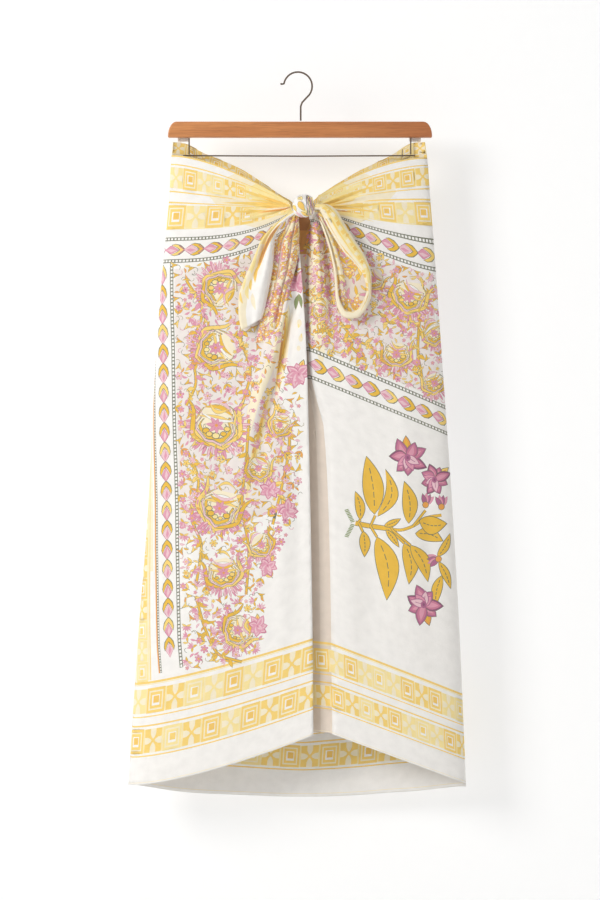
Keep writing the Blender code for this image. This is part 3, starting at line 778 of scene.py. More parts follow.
def floret(page, centre, radius, petals=5, name="pink", heart="marigold", turn=None):
    turn = page.dice.uniform(0.0, 6.3) if turn is None else turn
    page.hung("rose" if name in ("pink", "blush") else "taupe",
              blossom_shape(centre, radius * 1.10, petals, turn))
    page.hung(name, blossom_shape(centre, radius * 0.94, petals, turn, 0.40))
    page.hung(heart, ring_shape(centre, radius * 0.30, radius * 0.30, 5, turn))


def fringe(page, centre, inner, outer, start, stop, count, name="pink"):
    """Narrow petals round an arc; angles in degrees, anticlockwise from the right."""
    for k in range(count):
        a = math.radians(start + (stop - start) * (k + 0.5) / count + page.dice.uniform(-3, 3))
        way = heading(a)
        reach = outer * page.dice.uniform(0.86, 1.10)
        wide = (outer + inner) / 2.0 * math.radians(abs(stop - start)) / count * 0.92
        base, tip = np.array(centre) + way * inner, np.array(centre) + way * reach
        tone = page.dice.choice((name, name, "blush"))
        page.hung("rose", leaf_shape(base, tip, wide, 0.0, 4, 0.0002, 1.2))
        page.hung(tone, leaf_shape(base, tip, wide * 0.66, 0.0, 4, 0.0, 1.2))


def palmette(page, centre, radius, up=90.0, spread=250.0, tall=1.0):
    """A cupped flower that opens towards up, with a long pink fringe round its foot."""
    centre = np.array(centre, float)
    fringe(page, centre, radius * 0.80, radius * 1.52, up + 180 - spread / 2,
           up + 180 + spread / 2, int(spread / 7.5))
    way = heading(math.radians(up))
    aside = np.array((-way[1], way[0])) * page.dice.choice((-1, 1))
    roll = page.dice.uniform(0.0, 6.3)

    def at(ahead, side):
        return centre + (way * ahead * tall + aside * side) * radius

    def arc(reach, lift, half_turn, count=19, grow=0.0):
        a = math.pi + np.radians(np.linspace(-half_turn, half_turn, count))
        r = reach * (1.0 + 0.09 * np.sin(3.0 * a + roll) + 0.06 * np.sin(7.0 * a + roll)) + grow
        return [at(lift + float(q * np.cos(b)), float(q * np.sin(b))) for q, b in zip(r, a)]

    page.hung("cream", arc(0.92, 0.02, 158))
    for outer, inner, lift, half_turn, name in ((1.00, 0.91, 0.10, 140, "yellow"),
                                                (0.84, 0.79, 0.04, 120, "blush"),
                                                (0.70, 0.62, 0.08, 112, "marigold"),
                                                (0.50, 0.46, 0.06, 90, "cream")):
        edge = 0.020
        page.hung("outline", arc(outer, 0.0, half_turn + 3, 19, edge)
                  + arc(inner, lift, half_turn + 3, 19, -edge)[::-1])
        page.hung(name, arc(outer, 0.0, half_turn) + arc(inner, lift, half_turn)[::-1])
    for k in range(5):
        b = math.radians((k - 2) * 40 + page.dice.uniform(-9, 9))
        spot = at(-0.30 * math.cos(b) - 0.14, 0.48 * math.sin(b))
        size = radius * page.dice.uniform(0.10, 0.17)
        turn = page.dice.uniform(0.0, 3.0)
        page.hung("outline", ring_shape(spot, size * 1.25, size, 7, turn))
        page.hung(("marigold", "yellow", "butter")[k % 3],
                  ring_shape(spot, size, size * 0.76, 7, turn))
    for k in range(5):
        foot, tip = at(0.02 + 0.17 * k, 0.90 - 0.07 * k), at(0.42 + 0.17 * k, -0.86 + 0.13 * k)
        leaf(page, foot, tip, radius * page.dice.uniform(0.13, 0.19),
             radius * (0.12 + 0.06 * k) * page.dice.choice((-1, 1)),
             ("yellow", "cloth", "marigold", "blush", "yellow")[k], 0.0005, steps=8)
    for side in (-1, 1):
        curve = [at(ahead, side * out)
                 for ahead, out in ((-0.95, 0.20), (-0.30, 1.08), (0.62, 1.02), (1.20, 1.30))]
        ribbon(page, "outline", curve, radius * 0.20, 0.0006, 14)
        ribbon(page, "yellow" if side > 0 else "marigold", curve, radius * 0.20, 0.0, 14)
    for k in range(7):
        tip = at(0.02, -0.03) + heading(roll + k * 0.9) * radius * page.dice.uniform(0.30, 0.46)
        page.hung("rose", leaf_shape(at(0.0, 0.0), tip, radius * 0.17, 0.0, 4, 0.0003))
        page.hung("pink", leaf_shape(at(0.0, 0.0), tip, radius * 0.15, 0.0, 4))
    page.hung("amber", ring_shape(at(0.0, 0.0), radius * 0.08, radius * 0.08, 5))


def tuft(page, spot, size, turn):
    """A spiky flower from the side: narrow pink petals standing in two yellow leaves."""
    count = page.dice.choice((4, 5, 6))
    for k in range(count):
        tip = spot + heading(turn + (k - (count - 1) / 2.0) * 0.46) * size * (
            page.dice.uniform(0.80, 1.15))
        page.hung("rose", leaf_shape(spot, tip, size * 0.25, 0.0, 4, 0.0003))
        page.hung(page.dice.choice(("pink", "blush")), leaf_shape(spot, tip, size * 0.25, 0.0, 4))
    for side in (-1, 1):
        leaf(page, spot, spot + heading(turn + side * 2.0) * size * 0.75, size * 0.28,
             side * size * 0.10, page.dice.choice(("marigold", "yellow")), 0.0004, steps=5)


def curl(page, spot, size, turn):
    """Two yellow ribbons that part from one foot, with a tendril between them."""
    for side in (-1, 1):
        tip = spot + heading(turn + side * 0.55) * size * page.dice.uniform(1.0, 1.35)
        leaf(page, spot - heading(turn) * size * 0.3, tip, size * 0.32, side * size * 0.26,
             page.dice.choice(("marigold", "yellow", "marigold", "amber")), 0.0005, steps=7)
    tendril(page, spot, size, turn + 3.1)


def tendril(page, spot, size, turn):
    bow = page.dice.choice((-1, 1)) * 0.9
    path = [spot, spot + heading(turn) * size * 0.5, spot + heading(turn + bow * 0.5) * size * 0.9,
            spot + heading(turn + bow) * size]
    stroke(page, page.dice.choice(("outline", "taupe", "rose")), path, 0.0006)


def speck(page, spot, size, turn):
    """The small change of the print: a leaf, a bud or a tendril."""
    kind = page.dice.random()
    if kind < 0.55:
        leaf(page, spot - heading(turn) * size * 0.6, spot + heading(turn) * size * 0.6,
             size * 0.36, size * 0.12, page.dice.choice(
                 ("marigold", "yellow", "pink", "blush", "amber")), 0.0004, steps=4)
    elif kind < 0.75:
        floret(page, spot, size * 0.42, 5, page.dice.choice(("pink", "blush", "yellow")))
    else:
        tendril(page, spot, size, turn)


def scattered(page, spot, size, turn):
    kind = page.dice.random()
    if kind < 0.34:
        tuft(page, spot, size * 0.74, turn)
    elif kind < 0.66:
        curl(page, spot, size * 0.62, turn)
    elif kind < 0.84:
        sprig(page, spot, size * 0.85, turn)
    else:
        floret(page, spot, size * 0.44, page.dice.choice((5, 6)),
               page.dice.choice(("pink", "blush", "pink", "yellow")))
        tendril(page, spot, size * 0.7, turn)


def vine(page, points, wide=0.0030, leaves=8, size=0.013, name="marigold"):
    path = bend(points, 22)
    stroke(page, "outline", path, wide + 0.0012)
    stroke(page, name, path, wide)
    for k in range(leaves):
        i = 1 + int((k + 0.5) * 19 / leaves)
        way = path[i + 1] - path[i - 1]
        way = way / math.hypot(*way)
        aside = np.array((-way[1], way[0])) * (1 if k % 2 else -1)
        tip = path[i] + aside * size * page.dice.uniform(0.7, 1.1) + way * size * 0.6
        leaf(page, path[i], tip, size * 0.42, 0.0012 * page.dice.uniform(-1, 1),
             page.dice.choice(("marigold", "yellow", "marigold", "pink")), 0.0005, steps=5)


def sprig(page, spot, size, turn):
    """A short stem with a flower and two or three leaves."""
    way = heading(turn)
    aside = np.array((-way[1], way[0]))
    foot = spot - way * size * 0.8
    stroke(page, "outline", (foot, spot), 0.0009)
    for side in (-1, 1):
        leaf(page, foot + way * size * 0.2, foot + way * size * 0.9 + aside * side * size * 0.6,
             size * 0.30, 0.0, page.dice.choice(("marigold", "yellow", "amber")), 0.0004, steps=4)
    floret(page, spot + way * size * 0.25, size * 0.42, page.dice.choice((5, 6)),
           page.dice.choice(("pink", "pink", "blush", "yellow")),
           page.dice.choice(("marigold", "amber", "mauve")))


def scatter(page, inside, low, high, gap, taken=(), draw=scattered, tries=5000):
    """Small figures over a field, none nearer than gap to another or to what is taken."""
    spots = [(np.array(c), r) for c, r in taken]
    for _ in range(tries):
        spot = np.array((page.dice.uniform(low[0], high[0]), page.dice.uniform(low[1], high[1])))
        if any(abs(spot[0] - other[0]) + abs(spot[1] - other[1]) < gap * 0.4 + room
               for other, room in spots):
            continue
        density = inside(spot[0], spot[1])
        if density <= 0.0:
            continue
        need = gap / density
        if any(math.hypot(*(spot - other)) < need * 0.5 + room for other, room in spots):
            continue
        spots.append((spot, need * 0.5))
        draw(page, spot, gap, page.dice.uniform(0.0, 6.3))
    return spots


def fill_field(page, inside, low, high, gap, small_gap, taken, tries):
    """Sprigs and tufts over a field, and then leaves and buds in the room they leave."""
    spots = scatter(page, inside, low, high, gap, taken)
    return scatter(page, inside, low, high, small_gap,
                   [(spot, room * 0.72) for spot, room in spots], speck, tries)


print("figures ready")

# %% [markdown]
# ## The left front's print
# Its border turns a corner: one chain of diamonds runs along the waist and one down the side,
# and the floral field lies inside them.  The field's edge is ragged, so a short table gives it.

# %% Draw the left front
left_page = Print(left_hang, 11)


def row_drop(hang, v, x):
    """How low the woven row v hangs at x."""
    r = int(np.argmin(np.abs(hang.levels - v)))
    row = hang.lattice[r]
    order = 1 if row[-1, 0] > row[0, 0] else -1
    return np.interp(x, row[::order, 0], -row[::order, 2])


def line_from(hang, *places):
    """u(v) of a line down the cloth through a few places given as (x, drop)."""
    found = hang.find(places)
    found = found[np.argsort(found[:, 1])]
    return lambda v: np.interp(v, found[:, 1], found[:, 0])


BORDER_WIDTH = 0.0310
inner_border = line_from(left_hang, (-0.1815, 0.278), (-0.1790, 0.400), (-0.1765, 0.527),
                         (-0.1727, 0.680), (-0.1695, 0.8165), (-0.1652, 0.868))
side_band = line_from(left_hang, (-0.2120, 0.516), (-0.2120, 0.620), (-0.2120, 0.750),
                      (-0.2100, 0.877))
BORDER_FOOT = 0.7480
for name, wedge in (("cream", 0.085), ("butter", 0.050)):
    left_page.hung(name, leaf_shape((0.004, 0.194), (-0.006 - 1.5 * wedge, 0.172), wedge, 0.002, 9))
waist_bands(left_page)
diamond_chain(left_page, across_cloth(0.1376), 0.004, left_hang.ends[60], 0.0290, 0.0076)
bead_row(left_page, down_cloth(inner_border), 0.1550, BORDER_FOOT)
outer_border = down_cloth(lambda v: inner_border(v) - BORDER_WIDTH)
bead_row(left_page, outer_border, 0.1260, BORDER_FOOT + 0.002, 0.0030, 0.0040)
strip(left_page, "amber", outer_border, 0.1260, BORDER_FOOT + 0.002, -0.0034, -0.0016)
diamond_chain(left_page, down_cloth(lambda v: inner_border(v) - BORDER_WIDTH / 2), 0.1590,
              BORDER_FOOT, 0.0285, 0.0076, -1)
for name, foot, w0, w1 in (("cream", 0.7580, -0.0300, -0.0014), ("cream", 0.6000, -0.0014, 0.0050),
                           ("yellow", 0.7580, -0.0014, 0.0),
                           ("butter", 0.7580, -0.0042, -0.0034)):
    strip(left_page, name, down_cloth(side_band), 0.3300, foot, w0, w1)
key_band(left_page, down_cloth(lambda v: side_band(v) - 0.0150), 0.3400, 0.7580, 0.0300, 0.0200)
bottom_bands(left_page, 0.0290)
STREAKS = [(rise, 0.004, length, wide, name) for rise, length, wide, name in (
    (25, 0.080, 0.0060, "butter"), (20, 0.095, 0.0050, "yellow"), (14, 0.075, 0.0055, "butter"),
    (9, 0.090, 0.0050, "cream"), (4, 0.100, 0.0060, "yellow"), (0, 0.070, 0.0050, "butter"),
    (-4, 0.090, 0.0055, "yellow"), (-9, 0.075, 0.0060, "butter"), (-13, 0.085, 0.0050, "butter"),
    (17, 0.045, 0.0030, "honey"), (2, 0.045, 0.0026, "honey"), (-7, 0.050, 0.0030, "amber"),
    (22, 0.055, 0.0030, "yellow"), (11, 0.060, 0.0030, "yellow"), (-2, 0.060, 0.0026, "cream"))]
knot_streaks(left_page, np.array((-0.0060, 0.1960)), -1, STREAKS)

Field = namedtuple("Field", "drop right")
LEFT_FIELD = (
    Field(0.200, 0.000), Field(0.300, 0.001), Field(0.330, -0.013), Field(0.385, -0.022),
    Field(0.440, -0.014), Field(0.480, 0.002), Field(0.560, 0.004), Field(0.620, 0.000),
    Field(0.665, -0.014), Field(0.700, -0.034), Field(0.760, -0.050), Field(0.810, -0.053),
    Field(0.845, -0.070), Field(0.868, -0.105),
)
RIDGE = bend(((-0.018, 0.345), (-0.029, 0.402), (-0.046, 0.4406), (-0.062, 0.4795),
              (-0.071, 0.520), (-0.082, 0.560)), 16)


def in_left_field(x, drop):
    v_top = row_drop(left_hang, 0.1600, x)
    left = left_hang.find(((x, drop),))[0]
    if drop < v_top or drop > 0.866 or x > read(LEFT_FIELD, "drop", "right", drop):
        return 0.0
    if left[0] < inner_border(left[1]) + 0.007 or left[1] > 0.7520:
        return 0.0
    if np.min(np.hypot(*(RIDGE - (x - 0.003, drop)).T)) < 0.0085:
        return 0.0
    return 1.35 if x > -0.040 and drop < 0.39 else 1.0


Palm = namedtuple("Palm", "x drop radius up spread tall")
LEFT_PALMS = (
    Palm(-0.1120, 0.3120, 0.0255, -45, 200, 1.00),
    Palm(-0.1180, 0.3970, 0.0270, 10, 170, 1.10),
    Palm(-0.1166, 0.5083, 0.0320, 90, 270, 1.05),
    Palm(-0.1120, 0.6270, 0.0290, 62, 250, 1.05),
    Palm(-0.1060, 0.7190, 0.0240, 104, 230, 1.00),
    Palm(-0.0860, 0.8010, 0.0225, 30, 210, 1.00),
    Palm(-0.0560, 0.5700, 0.0170, 80, 210, 1.10),
    Palm(-0.0520, 0.6800, 0.0170, 120, 220, 1.00),
    Palm(-0.0260, 0.5080, 0.0150, 60, 200, 1.15),
)


def ridge_with_painted_shade(page):
    """The long fold: cream along its crest, and painted shade in the valleys on its right."""
    ribbon(page, "cream", [(x - 0.002, drop) for x, drop in RIDGE[::3]], 0.0150)
    # Painted shade in the two valleys right of the crest, pale at their edges and darkest in the middle
    # of the first.
    for name, points, wide in (
            ("cream", ((-0.013, 0.335), (-0.021, 0.405), (-0.031, 0.470)), 0.0130),
            ("butter", ((-0.015, 0.342), (-0.022, 0.405), (-0.032, 0.460)), 0.0090),
            ("honey", ((-0.017, 0.348), (-0.023, 0.405), (-0.031, 0.450)), 0.0060),
            ("shade", ((-0.018, 0.355), (-0.024, 0.400), (-0.029, 0.436)), 0.0030),
            ("cream", ((-0.036, 0.450), (-0.052, 0.510), (-0.066, 0.570), (-0.078, 0.640)), 0.0120),
            ("butter", ((-0.040, 0.460), (-0.053, 0.510), (-0.065, 0.562), (-0.074, 0.615)), 0.0080),
            ("honey", ((-0.043, 0.468), (-0.054, 0.512), (-0.063, 0.552), (-0.070, 0.590)), 0.0040)):
        ribbon(page, name, points, wide)
    for k in range(14):
        spot = RIDGE[1 + k] + (page.dice.uniform(-0.006, 0.002), 0.0)
        speck(page, spot, 0.0070, page.dice.uniform(0.0, 6.3))


def field_figures(page, palms, vines):
    for points in vines:
        vine(page, points)
    for palm in palms:
        palmette(page, (palm.x, palm.drop), palm.radius, palm.up, palm.spread, palm.tall)
    return [((palm.x, palm.drop), palm.radius * 1.18) for palm in palms]


DEEP = ("outline", "mauve", "plum", "rose", "pink")
SOFT = ("rose", "pink", "rose", "blush", "pink")


def bloom(page, centre, radius, up=90.0, petals=7, sepal="amber", tones=DEEP):
    """A large lily: uneven pointed petals, mauve behind and pink in front, one sepal up."""
    centre = np.array(centre, float)
    ahead = math.radians(up)

    def reach(angle, share):
        return centre + heading(angle) * radius * share

    leaf(page, reach(ahead, 0.2), reach(ahead, 1.12), radius * 0.42, 0.0, sepal, 0.0009)
    page.hung("marigold" if sepal == "amber" else "amber",
              leaf_shape(reach(ahead, 0.4), reach(ahead, 0.98), radius * 0.15))
    for k in range(petals):
        a = ahead + 2.0 * math.pi * (k + 0.5) / petals + page.dice.uniform(-0.14, 0.14)
        far, bow = page.dice.uniform(0.80, 1.14), page.dice.uniform(-0.09, 0.09) * radius
        for name, share, wide, extra in ((tones[0], 1.0, 0.60, 0.0006),
                                         (tones[2 if k % 3 == 1 else 1], 1.0, 0.60, 0.0),
                                         (tones[3], 0.90, 0.46, 0.0),
                                         (tones[4], 0.76, 0.26, 0.0)):
            page.hung(name, leaf_shape(centre, reach(a + 0.03 * (1 - share), far * share),
                                       radius * wide, bow, 6, extra))
    for k in range(4):
        a = ahead + math.pi + (k - 1.5) * 0.66 + page.dice.uniform(-0.1, 0.1)
        far = page.dice.uniform(0.60, 0.82)
        page.hung(tones[1], leaf_shape(reach(a + math.pi, 0.14), reach(a, far), radius * 0.44,
                                       0.0, 6, 0.0004))
        page.hung("blush" if k % 2 else "pink",
                  leaf_shape(reach(a + math.pi, 0.14), reach(a, far * 0.94), radius * 0.38))
        stroke(page, tones[1], (reach(a, 0.16), reach(a, far * 0.62)), radius * 0.03)
    page.hung(tones[1], ring_shape(centre, radius * 0.17, radius * 0.20, 7))
    page.hung(tones[2], ring_shape(centre, radius * 0.07, radius * 0.09, 5))


LEFT_VINES = (
    ((-0.160, 0.300), (-0.137, 0.345), (-0.152, 0.400), (-0.146, 0.445), (-0.160, 0.480)),
    ((-0.070, 0.330), (-0.082, 0.380), (-0.068, 0.430), (-0.080, 0.480)),
    ((-0.158, 0.545), (-0.142, 0.590), (-0.152, 0.640), (-0.138, 0.680), (-0.146, 0.740)),
    ((-0.070, 0.500), (-0.074, 0.560), (-0.080, 0.620), (-0.070, 0.690), (-0.074, 0.750)),
    ((-0.146, 0.752), (-0.132, 0.800), (-0.112, 0.836), (-0.080, 0.846)),
    ((-0.036, 0.470), (-0.012, 0.530), (-0.024, 0.600), (-0.036, 0.650)),
)
ground_rows = np.linspace(0.1640, 0.5600, 30)
edge_drops = 0.050 + 0.998 * ground_rows[::-1]      # where the rows hang at the field's edge
edge_xs = read(LEFT_FIELD, "drop", "right", edge_drops - 0.006) - 0.012
edge_us = left_hang.find(np.stack([edge_xs, edge_drops], axis=1))[:, 0]
left_page.flat("petal", [(float(inner_border(v)) + 0.0040, v) for v in ground_rows]
               + list(zip(edge_us, ground_rows[::-1])))
ridge_with_painted_shade(left_page)
left_page.finer((-0.085, 0.165), (0.000, 0.262), 0.0016)
left_page.finer((-0.095, 0.262), (0.012, 0.560), 0.0030)
left_taken = field_figures(left_page, LEFT_PALMS, LEFT_VINES)
left_spots = fill_field(left_page, in_left_field, (-0.185, 0.200), (0.006, 0.868), 0.0125,
                        0.0066, left_taken, 9000)
for centre, radius, up in (((0.000, 0.3053), 0.0140, 100), ((0.001, 0.4349), 0.0165, 70),
                           ((-0.0144, 0.6293), 0.0140, 120), ((-0.0403, 0.6005), 0.0130, 80),
                           ((-0.0432, 0.7085), 0.0130, 60), ((-0.0576, 0.7949), 0.0130, 90)):
    bloom(left_page, centre, radius * 1.15, up, 7, "yellow", SOFT)
leaf(left_page, (0.000, 0.322), (-0.003, 0.342), 0.0050, 0.001, "sage")
leaf(left_page, (0.001, 0.320), (0.005, 0.340), 0.0040, -0.001, "sage")
for name, x, drop, wide, tall in (("cream", 0.002, 0.362, 0.0036, 0.0060),
                                  ("cream", 0.004, 0.384, 0.0034, 0.0050),
                                  ("butter", 0.001, 0.366, 0.0016, 0.0030),
                                  ("butter", 0.005, 0.380, 0.0014, 0.0034),
                                  ("cream", 0.001, 0.398, 0.0030, 0.0040)):
    left_page.hung(name, ring_shape((x, drop), wide, tall, 7, 0.4))
print("left front:", len(left_spots), "small figures,", len(left_page.shapes), "ink shapes")

# %% [markdown]
# ## The right front's print
# Here the border comes back across the cloth, and below it one large spray stands on the plain
# white ground.  A table gives each leaf of the spray by its base, its tip and its width.

# %% Draw the right front
right_page = Print(right_hang, 23)
right_end = float(right_hang.ends[60]) - 0.0006
right_page.flat("petal", [(u, v) for v, line in ((0.1600, (0.010, 0.10, right_end)),
                                                 (0.3440, (right_end, 0.10, 0.010)))
                          for u in line])
right_page.hung("cream", leaf_shape((0.026, 0.212), (0.034, 0.430), 0.032, 0.0, 9))
for name, wedge in (("cream", 0.080), ("butter", 0.046)):
    right_page.hung(name, leaf_shape((0.012, 0.194), (0.022 + 1.5 * wedge, 0.172), wedge, -0.002, 9))
# Painted shade in the recess between the left front's edge and the fold: a beige band out to the fold
# and a darker one over its inner part.
PAINTED_RECESS_SHADE = ((0.0150, 0.400), (0.0200, 0.450), (0.0357, 0.500), (0.0432, 0.615), (0.0468, 0.759),
          (0.0490, 0.949))
for name, share, inner in (("fawn", 1.00, 0.010), ("sand", 0.62, 0.006)):
    edge = bend([(inner + (x - inner) * share, drop) for x, drop in PAINTED_RECESS_SHADE], 16)
    right_page.hung(name, list(edge) + [(-0.012, float(drop)) for _, drop in edge[::-1]])
waist_bands(right_page, (0.0225, 0.0280))
diamond_chain(right_page, across_cloth(0.1376), 0.002, right_hang.ends[60], 0.0285, 0.0076, -1)
bead_row(right_page, across_cloth(0.3510), 0.0, 0.235)
bead_row(right_page, across_cloth(0.3830), 0.0, 0.235)
diamond_chain(right_page, across_cloth(0.3670), 0.002, 0.235, 0.0275, 0.0070, -1)
bottom_bands(right_page, 0.0218, 1)
knot_streaks(right_page, np.array((0.0230, 0.1960)), 1, STREAKS)
# Painted shade in the gap under the knot: a beige wedge, a brown one within it, and a dark brown one at
# its top.
for name, edge in (
        ("fawn", ((0.0195, 0.198), (0.0205, 0.225), (0.0180, 0.262), (0.0152, 0.305),
                  (0.0128, 0.340))),
        ("shade", ((0.0185, 0.198), (0.0188, 0.222), (0.0160, 0.238), (0.0120, 0.262))),
        ("umber", ((0.0182, 0.198), (0.0184, 0.216), (0.0130, 0.228)))):
    right_page.hung(name, [(-0.012, edge[0][1])] + list(edge) + [(-0.012, edge[-1][1])])


for k in range(26):
    spot = np.array((right_page.dice.uniform(-0.002, 0.015), 0.246 + 0.0036 * k))
    way = heading(right_page.dice.uniform(0, 360)) * 0.0034
    right_page.hung(("honey", "pink", "yellow", "rose")[k % 4],
                    leaf_shape(spot - way, spot + way, 0.0026, 0.0004, 4))


def in_right_field(x, drop):
    top = row_drop(right_hang, 0.1600, x)
    foot = row_drop(right_hang, 0.3440, x)
    if drop < top or drop > foot or x < 0.016:
        return 0.0
    return 1.35 if x < 0.056 else 1.0


RIGHT_PALMS = (
    Palm(0.1590, 0.3230, 0.0250, 70, 200, 0.95),
    Palm(0.1960, 0.3760, 0.0165, 110, 120, 1.10),
    Palm(0.1411, 0.4070, 0.0200, 90, 150, 0.95),
    Palm(0.1960, 0.4480, 0.0170, 100, 170, 0.90),
    Palm(0.1080, 0.3000, 0.0150, 60, 180, 1.00),
    Palm(0.0320, 0.3450, 0.0110, 90, 190, 1.20),
)
RIGHT_VINES = (
    ((0.115, 0.345), (0.135, 0.362), (0.160, 0.352), (0.184, 0.350)),
    ((0.060, 0.360), (0.082, 0.385), (0.110, 0.400), (0.118, 0.425)),
    ((0.180, 0.300), (0.176, 0.340), (0.172, 0.400), (0.178, 0.440)),
    ((0.024, 0.375), (0.050, 0.372), (0.070, 0.390), (0.096, 0.415)),
)
right_page.finer((0.018, 0.150), (0.125, 0.262), 0.0017)
right_page.finer((-0.002, 0.262), (0.062, 0.420), 0.0028)
right_taken = field_figures(right_page, RIGHT_PALMS, RIGHT_VINES)
right_spots = fill_field(right_page, in_right_field, (0.014, 0.205), (0.206, 0.480), 0.0120,
                         0.0064, right_taken, 6000)

SPRAY_ROOT = np.array((0.0821, 0.6480))
Blade = namedtuple("Blade", "base_x base_up tip_x tip_up wide bow")
SPRAY_LEAVES = (
    Blade(0.0274, 0.0130, 0.0158, 0.0950, 0.0290, 0.0035),
    Blade(0.0318, 0.0100, 0.0428, 0.0763, 0.0180, 0.0150),
    Blade(0.0763, 0.0000, 0.0700, 0.0590, 0.0210, 0.0050),
    Blade(0.0072, 0.0050, 0.0000, 0.0446, 0.0130, 0.0030),
    Blade(0.0115, -0.0120, 0.0130, -0.0475, 0.0145, -0.0015),
    Blade(0.0310, -0.0200, 0.0446, -0.1094, 0.0310, -0.0090),
    Blade(0.0700, -0.0290, 0.0763, -0.0864, 0.0215, -0.0070),
    Blade(0.0792, -0.0320, 0.1037, -0.0835, 0.0190, -0.0060),
    Blade(0.0864, -0.0150, 0.1253, -0.0259, 0.0190, -0.0040),
    Blade(0.0418, -0.0040, 0.0640, 0.0060, 0.0085, 0.0010),
    Blade(0.0440, -0.0100, 0.0620, -0.0340, 0.0085, -0.0010),
    Blade(0.1240, -0.0760, 0.1152, -0.1180, 0.0140, 0.0030),
    Blade(0.0920, 0.0030, 0.1310, -0.0010, 0.0250, 0.0050),
    Blade(0.1180, -0.0480, 0.1360, -0.0160, 0.0110, 0.0030),
    Blade(0.1200, -0.0560, 0.1370, -0.0940, 0.0110, -0.0020),
)


def spray(page, root, hand=1.0):
    """A large leafy spray lying on its side, its stem growing to the right."""
    def at(x, up):
        return root + np.array((x * hand, -up))

    stem = bend([at(x, up) for x, up in ((0.0, 0.0), (0.0216, -0.0043), (0.0418, -0.0072),
                                         (0.0634, -0.0101), (0.0792, -0.0058),
                                         (0.1066, 0.0086), (0.1238, 0.0110))], 20)
    for wide, name in ((0.0074, "outline"), (0.0058, "marigold")):
        stroke(page, name, stem[:9], wide)
        stroke(page, name, stem[8:], wide * 0.62)
    for x, up, joint, back in ((0.0285, 0.0110, 0.0216, -0.0043), (0.0072, 0.0050, 0.0030, 0.0),
                               (0.0310, -0.0200, 0.0216, -0.0043), (0.0115, -0.0140, 0.0050, 0.0),
                               (0.0700, -0.0290, 0.0480, -0.0080),
                               (0.0792, -0.0320, 0.0520, -0.0090),
                               (0.1008, 0.0180, 0.0820, -0.0050)):
        for wide, name in ((0.0040, "outline"), (0.0026, "marigold")):
            stroke(page, name, (at(joint, back), at(x, up)), wide)
    for blade in SPRAY_LEAVES:
        leaf(page, at(blade.base_x, blade.base_up), at(blade.tip_x, blade.tip_up), blade.wide,
             blade.bow * hand, "marigold", 0.0010, 0.0011, steps=12)
    for k in range(9):
        for side in (-1, 1):
            foot = at(-0.001 - 0.0011 * k, side * (0.0030 + 0.0021 * k))
            tip = foot + np.array((-hand * 0.0056, side * 0.0016))
            stroke(page, "sage", (foot, tip), 0.0014 + 0.0004 * (k % 2))
    bloom(page, at(0.0749, 0.0936), 0.0275, 95 if hand > 0 else 85, 7)
    bloom(page, at(0.1138, 0.0619), 0.0235, 40 if hand > 0 else 140, 8, "yellow")
    bloom(page, at(0.0979, -0.1166), 0.0275, 285 if hand > 0 else 255, 7)
    for x, up, turn in ((0.1008, 0.0259, 75), (0.1195, -0.0518, 190), (0.1238, 0.0230, 90)):
        spot = at(x, up)
        for k in range(4):
            a = math.radians(turn if hand > 0 else 180 - turn) + (k - 1.5) * 0.36
            leaf(page, spot, spot + heading(a) * 0.0165, 0.0066, 0.0,
                 ("pink", "mauve")[k % 2], 0.0006, steps=5)
        page.hung("outline", ring_shape(spot, 0.0050, 0.0050, 8))
        page.hung("amber", ring_shape(spot, 0.0043, 0.0043, 8))


spray(right_page, SPRAY_ROOT)
print("right front:", len(right_spots), "small figures,", len(right_page.shapes), "ink shapes")

# %% [markdown]
# ## The back's print
# The back continues the same cloth: the waist bands and the border run round it, the floral
# field ends in a second border, and sprays stand on the white below.

# %% Draw the back
back_page = Print(back_hang, 37, 0.0065)
back_end = float(back_hang.ends.max())
strip(back_page, "cream", across_cloth(0.020), 0.0, back_end, -0.0200, 0.0200)
waist_bands(back_page, (0.0250, 0.0290))
strip(back_page, "cream", across_cloth(0.0120), 0.0, back_end, -0.0120, 0.0050)
key_band(back_page, across_cloth(0.0085), 0.0, back_end, 0.0200, 0.0170)
diamond_chain(back_page, across_cloth(0.1376), 0.004, back_end, 0.0262, 0.0070)
bead_row(back_page, across_cloth(0.3510), 0.0, back_end)
bead_row(back_page, across_cloth(0.3830), 0.0, back_end)
diamond_chain(back_page, across_cloth(0.3670), 0.002, back_end, 0.0256, 0.0074)
bottom_bands(back_page, 0.0285, 0, 0.0200)


def in_back_field(x, drop):
    inside = row_drop(back_hang, 0.1600, x) < drop < row_drop(back_hang, 0.3440, x)
    return 1.0 if inside and abs(x) < 0.196 else 0.0


BACK_PALMS = tuple(Palm(-0.165 + 0.066 * k, 0.365 + 0.022 * math.cos(1.9 * k) - 0.02 * (k % 2),
                        0.021 + 0.002 * math.sin(2.3 * k), 90 + 25 * math.sin(1.3 * k), 220, 1.0)
                   for k in range(6))
back_taken = field_figures(back_page, BACK_PALMS, ())
back_spots = scatter(back_page, in_back_field, (-0.196, 0.22), (0.196, 0.52), 0.0150, back_taken)
spray(back_page, np.array((-0.129, 0.706)))
spray(back_page, np.array((0.165, 0.715)), -1.0)
print("back:", len(back_spots), "small figures,", len(back_page.shapes), "ink shapes")
